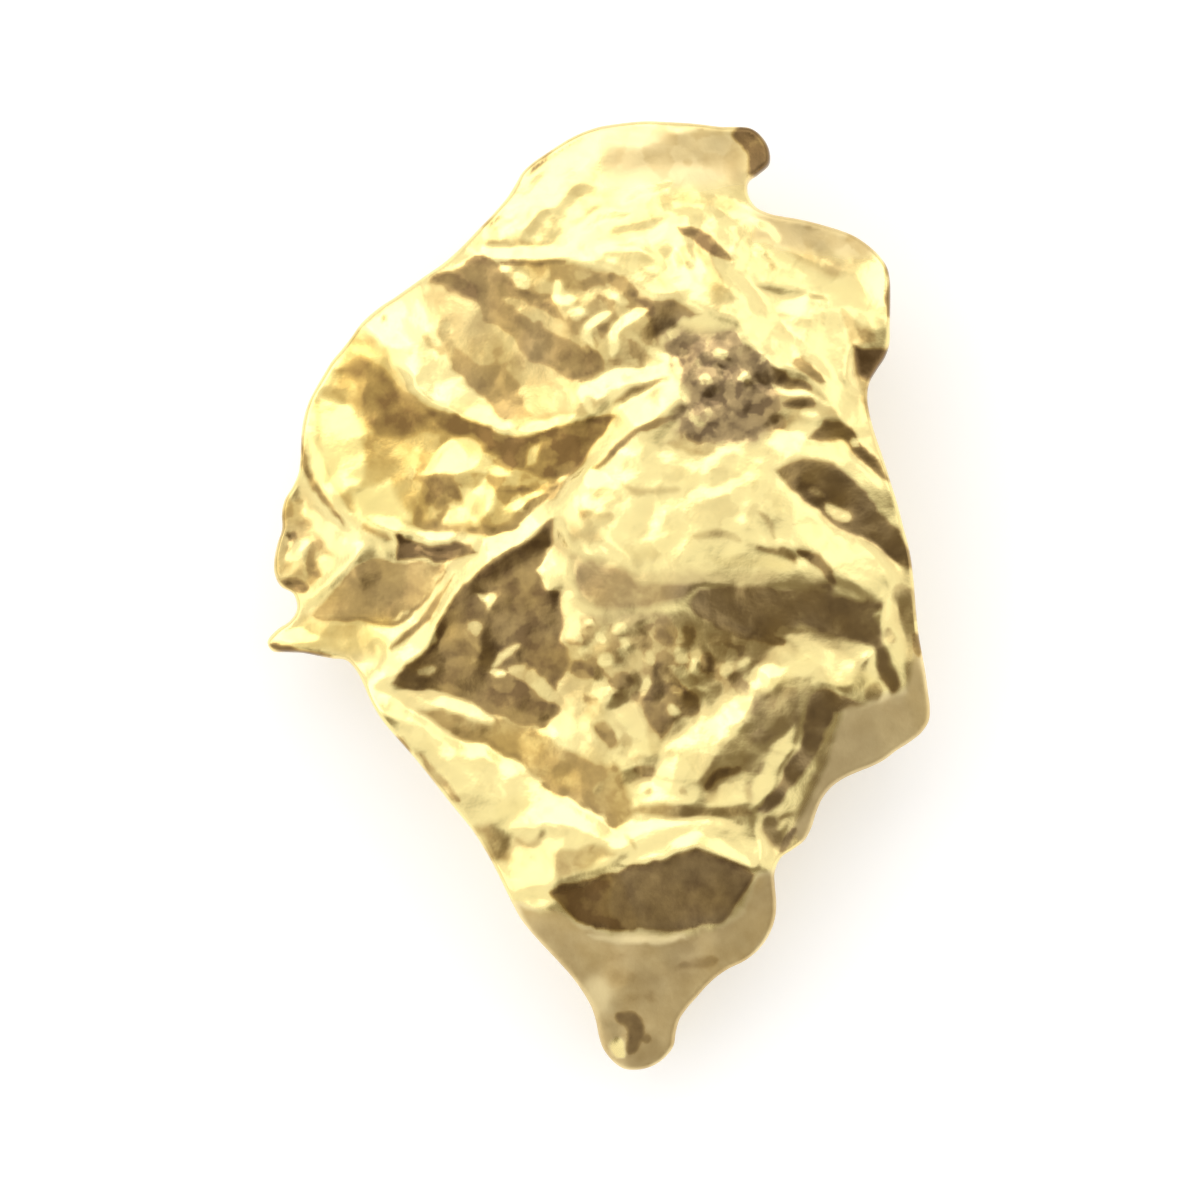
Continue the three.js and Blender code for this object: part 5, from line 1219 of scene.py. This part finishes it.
class NuggetSize(bpy.types.PropertyGroup):
    edge_step: bpy.props.FloatProperty(
        name="Edge spacing",
        description="Distance between points along the outline",
        default=0.055 * MM, unit="LENGTH", precision=6
    )
    upper_step: bpy.props.FloatProperty(
        name="Upper spacing",
        description="Distance between points on the upper side",
        default=0.05 * MM, unit="LENGTH", precision=6
    )
    back_step: bpy.props.FloatProperty(
        name="Back spacing",
        description="Distance between points on the back",
        default=0.13 * MM, unit="LENGTH", precision=6
    )


class NuggetLook(bpy.types.PropertyGroup):
    gold: bpy.props.FloatVectorProperty(
        name="Gold",
        description="Colour of the bare metal",
        default=(1.0, 0.84, 0.37), subtype="COLOR", size=3
    )
    # Painted shade: the deeper gold laid into hollows.
    hollow_shade_gold: bpy.props.FloatVectorProperty(
        name="Hollow shade gold",
        description="Colour of the metal in hollows",
        default=(0.85, 0.58, 0.24), subtype="COLOR", size=3
    )
    worn_gold: bpy.props.FloatVectorProperty(
        name="Worn gold",
        description="Colour of the metal on matte faces",
        default=(0.95, 0.8, 0.44), subtype="COLOR", size=3
    )
    rich_gold: bpy.props.FloatVectorProperty(
        name="Rich gold",
        description="Colour of the bare metal in rusty places",
        default=(1.0, 0.82, 0.31), subtype="COLOR", size=3
    )
    # The film and stain colours serve for real oxide and also for painted dark reflection and shade.
    ash_film_and_shade: bpy.props.FloatVectorProperty(
        name="Ash film and shade",
        description="Colour under a thin grey film",
        default=(0.53, 0.385, 0.18), subtype="COLOR", size=3
    )
    rust_film_and_shade: bpy.props.FloatVectorProperty(
        name="Rust film and shade",
        description="Colour under a thin rusty film",
        default=(0.63, 0.425, 0.12), subtype="COLOR", size=3
    )
    ash_stain_and_shade: bpy.props.FloatVectorProperty(
        name="Ash stain and shade",
        description="Colour of the thick grey film",
        default=(0.215, 0.145, 0.073), subtype="COLOR", size=3
    )
    rust_stain_and_shade: bpy.props.FloatVectorProperty(
        name="Rust stain and shade",
        description="Colour of the thick rusty film",
        default=(0.25, 0.145, 0.047), subtype="COLOR", size=3
    )
    gloss: bpy.props.FloatProperty(
        name="Gloss roughness",
        description="Roughness of polished crests",
        default=0.22, min=0, max=1, subtype="FACTOR"
    )
    matte: bpy.props.FloatProperty(
        name="Matte roughness",
        description="Roughness of worn faces",
        default=0.5, min=0, max=1, subtype="FACTOR"
    )


class NuggetStage(bpy.types.PropertyGroup):
    floor: bpy.props.FloatVectorProperty(
        name="Floor",
        description="Colour of the floor",
        default=(0.8, 0.8, 0.8), subtype="COLOR", size=3
    )
    glow: bpy.props.FloatProperty(
        name="Glow",
        description="Light that the floor gives off, as a light table does",
        default=0.42, min=0
    )
    field: bpy.props.FloatProperty(
        name="Field",
        description="Width of what the camera sees",
        default=24 * MM, unit="LENGTH", precision=4
    )
    lens: bpy.props.FloatProperty(
        name="Lens",
        description="Focal length in millimetres",
        default=100.0, subtype="NONE"
    )


class NUGGET_OT_body(bpy.types.Operator):
    """Builds the nugget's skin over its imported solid"""

    bl_idname = "nugget.body"
    bl_label = "Nugget"

    def execute(self, context):
        body = build_skin(context.scene.nugget_size)
        body.data.materials.append(gold_material(context.scene.nugget_look))
        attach(body, "root")
        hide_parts(NODE)
        return {"FINISHED"}


class NUGGET_OT_stage(bpy.types.Operator):
    """Lays the floor and sets the lights and the camera"""

    bl_idname = "nugget.stage"
    bl_label = "Stage"

    def execute(self, context):
        stage = context.scene.nugget_stage
        mesh = bpy.data.meshes.new("floor")
        corners = [(x * FLOOR_HALF, y * FLOOR_HALF, 0) for x, y in ((-1, -1), (1, -1), (1, 1), (-1, 1))]
        mesh.from_pydata(corners, [], [(0, 1, 2, 3)])
        floor = bpy.data.objects.new("floor", mesh)
        context.scene.collection.objects.link(floor)
        plain = bpy.data.materials.new("floor_plain")
        plain.use_nodes = True
        sockets = plain.node_tree.nodes["Principled BSDF"].inputs
        sockets["Base Color"].default_value = (*stage.floor, 1)
        sockets["Roughness"].default_value = 0.8
        sockets["Emission Color"].default_value = (*stage.floor, 1)
        sockets["Emission Strength"].default_value = stage.glow
        mesh.materials.append(plain)
        sky(**ROOM)
        for name, azimuth, elevation, width, height, radiance in LIGHTS:
            softbox(name, azimuth, elevation, LIGHT_DISTANCE, width, height, radiance)
        data = bpy.data.cameras.new("camera")
        data.lens = stage.lens
        camera = bpy.data.objects.new("camera", data)
        context.scene.collection.objects.link(camera)
        x, y, height = CAMERA_AIM
        camera.location = (x, y, height + stage.field * stage.lens / data.sensor_width)
        data.clip_start, data.clip_end = CAMERA_CLIP
        context.scene.camera = camera
        context.scene.view_settings.view_transform = "Standard"
        context.scene.view_settings.exposure = 0.0
        return {"FINISHED"}


class NUGGET_PT_panel(bpy.types.Panel):
    """Lists the nugget's settings and the steps that build it"""

    bl_idname = "NUGGET_PT_panel"
    bl_label = "Gold nugget"
    bl_space_type = "VIEW_3D"
    bl_region_type = "UI"
    bl_category = "Nugget"

    def draw(self, context):
        for group in GROUPS:
            settings = getattr(context.scene, group)
            for name in settings.__annotations__:
                self.layout.prop(settings, name)
        for operator in OPERATORS:
            self.layout.operator(operator.bl_idname)


GROUPS = {"nugget_size": NuggetSize, "nugget_look": NuggetLook, "nugget_stage": NuggetStage}
OPERATORS = (NUGGET_OT_body, NUGGET_OT_stage)
CLASSES = (*GROUPS.values(), *OPERATORS, NUGGET_PT_panel)


def register():
    for cls in CLASSES:
        bpy.utils.register_class(cls)
    for name, group in GROUPS.items():
        setattr(bpy.types.Scene, name, bpy.props.PointerProperty(type=group))


def unregister():
    for name in GROUPS:
        delattr(bpy.types.Scene, name)
    for cls in reversed(CLASSES):
        bpy.utils.unregister_class(cls)


def main():
    register()
    bpy.ops.nugget.body()
    bpy.ops.nugget.stage()


if __name__ == "__main__":
    main()
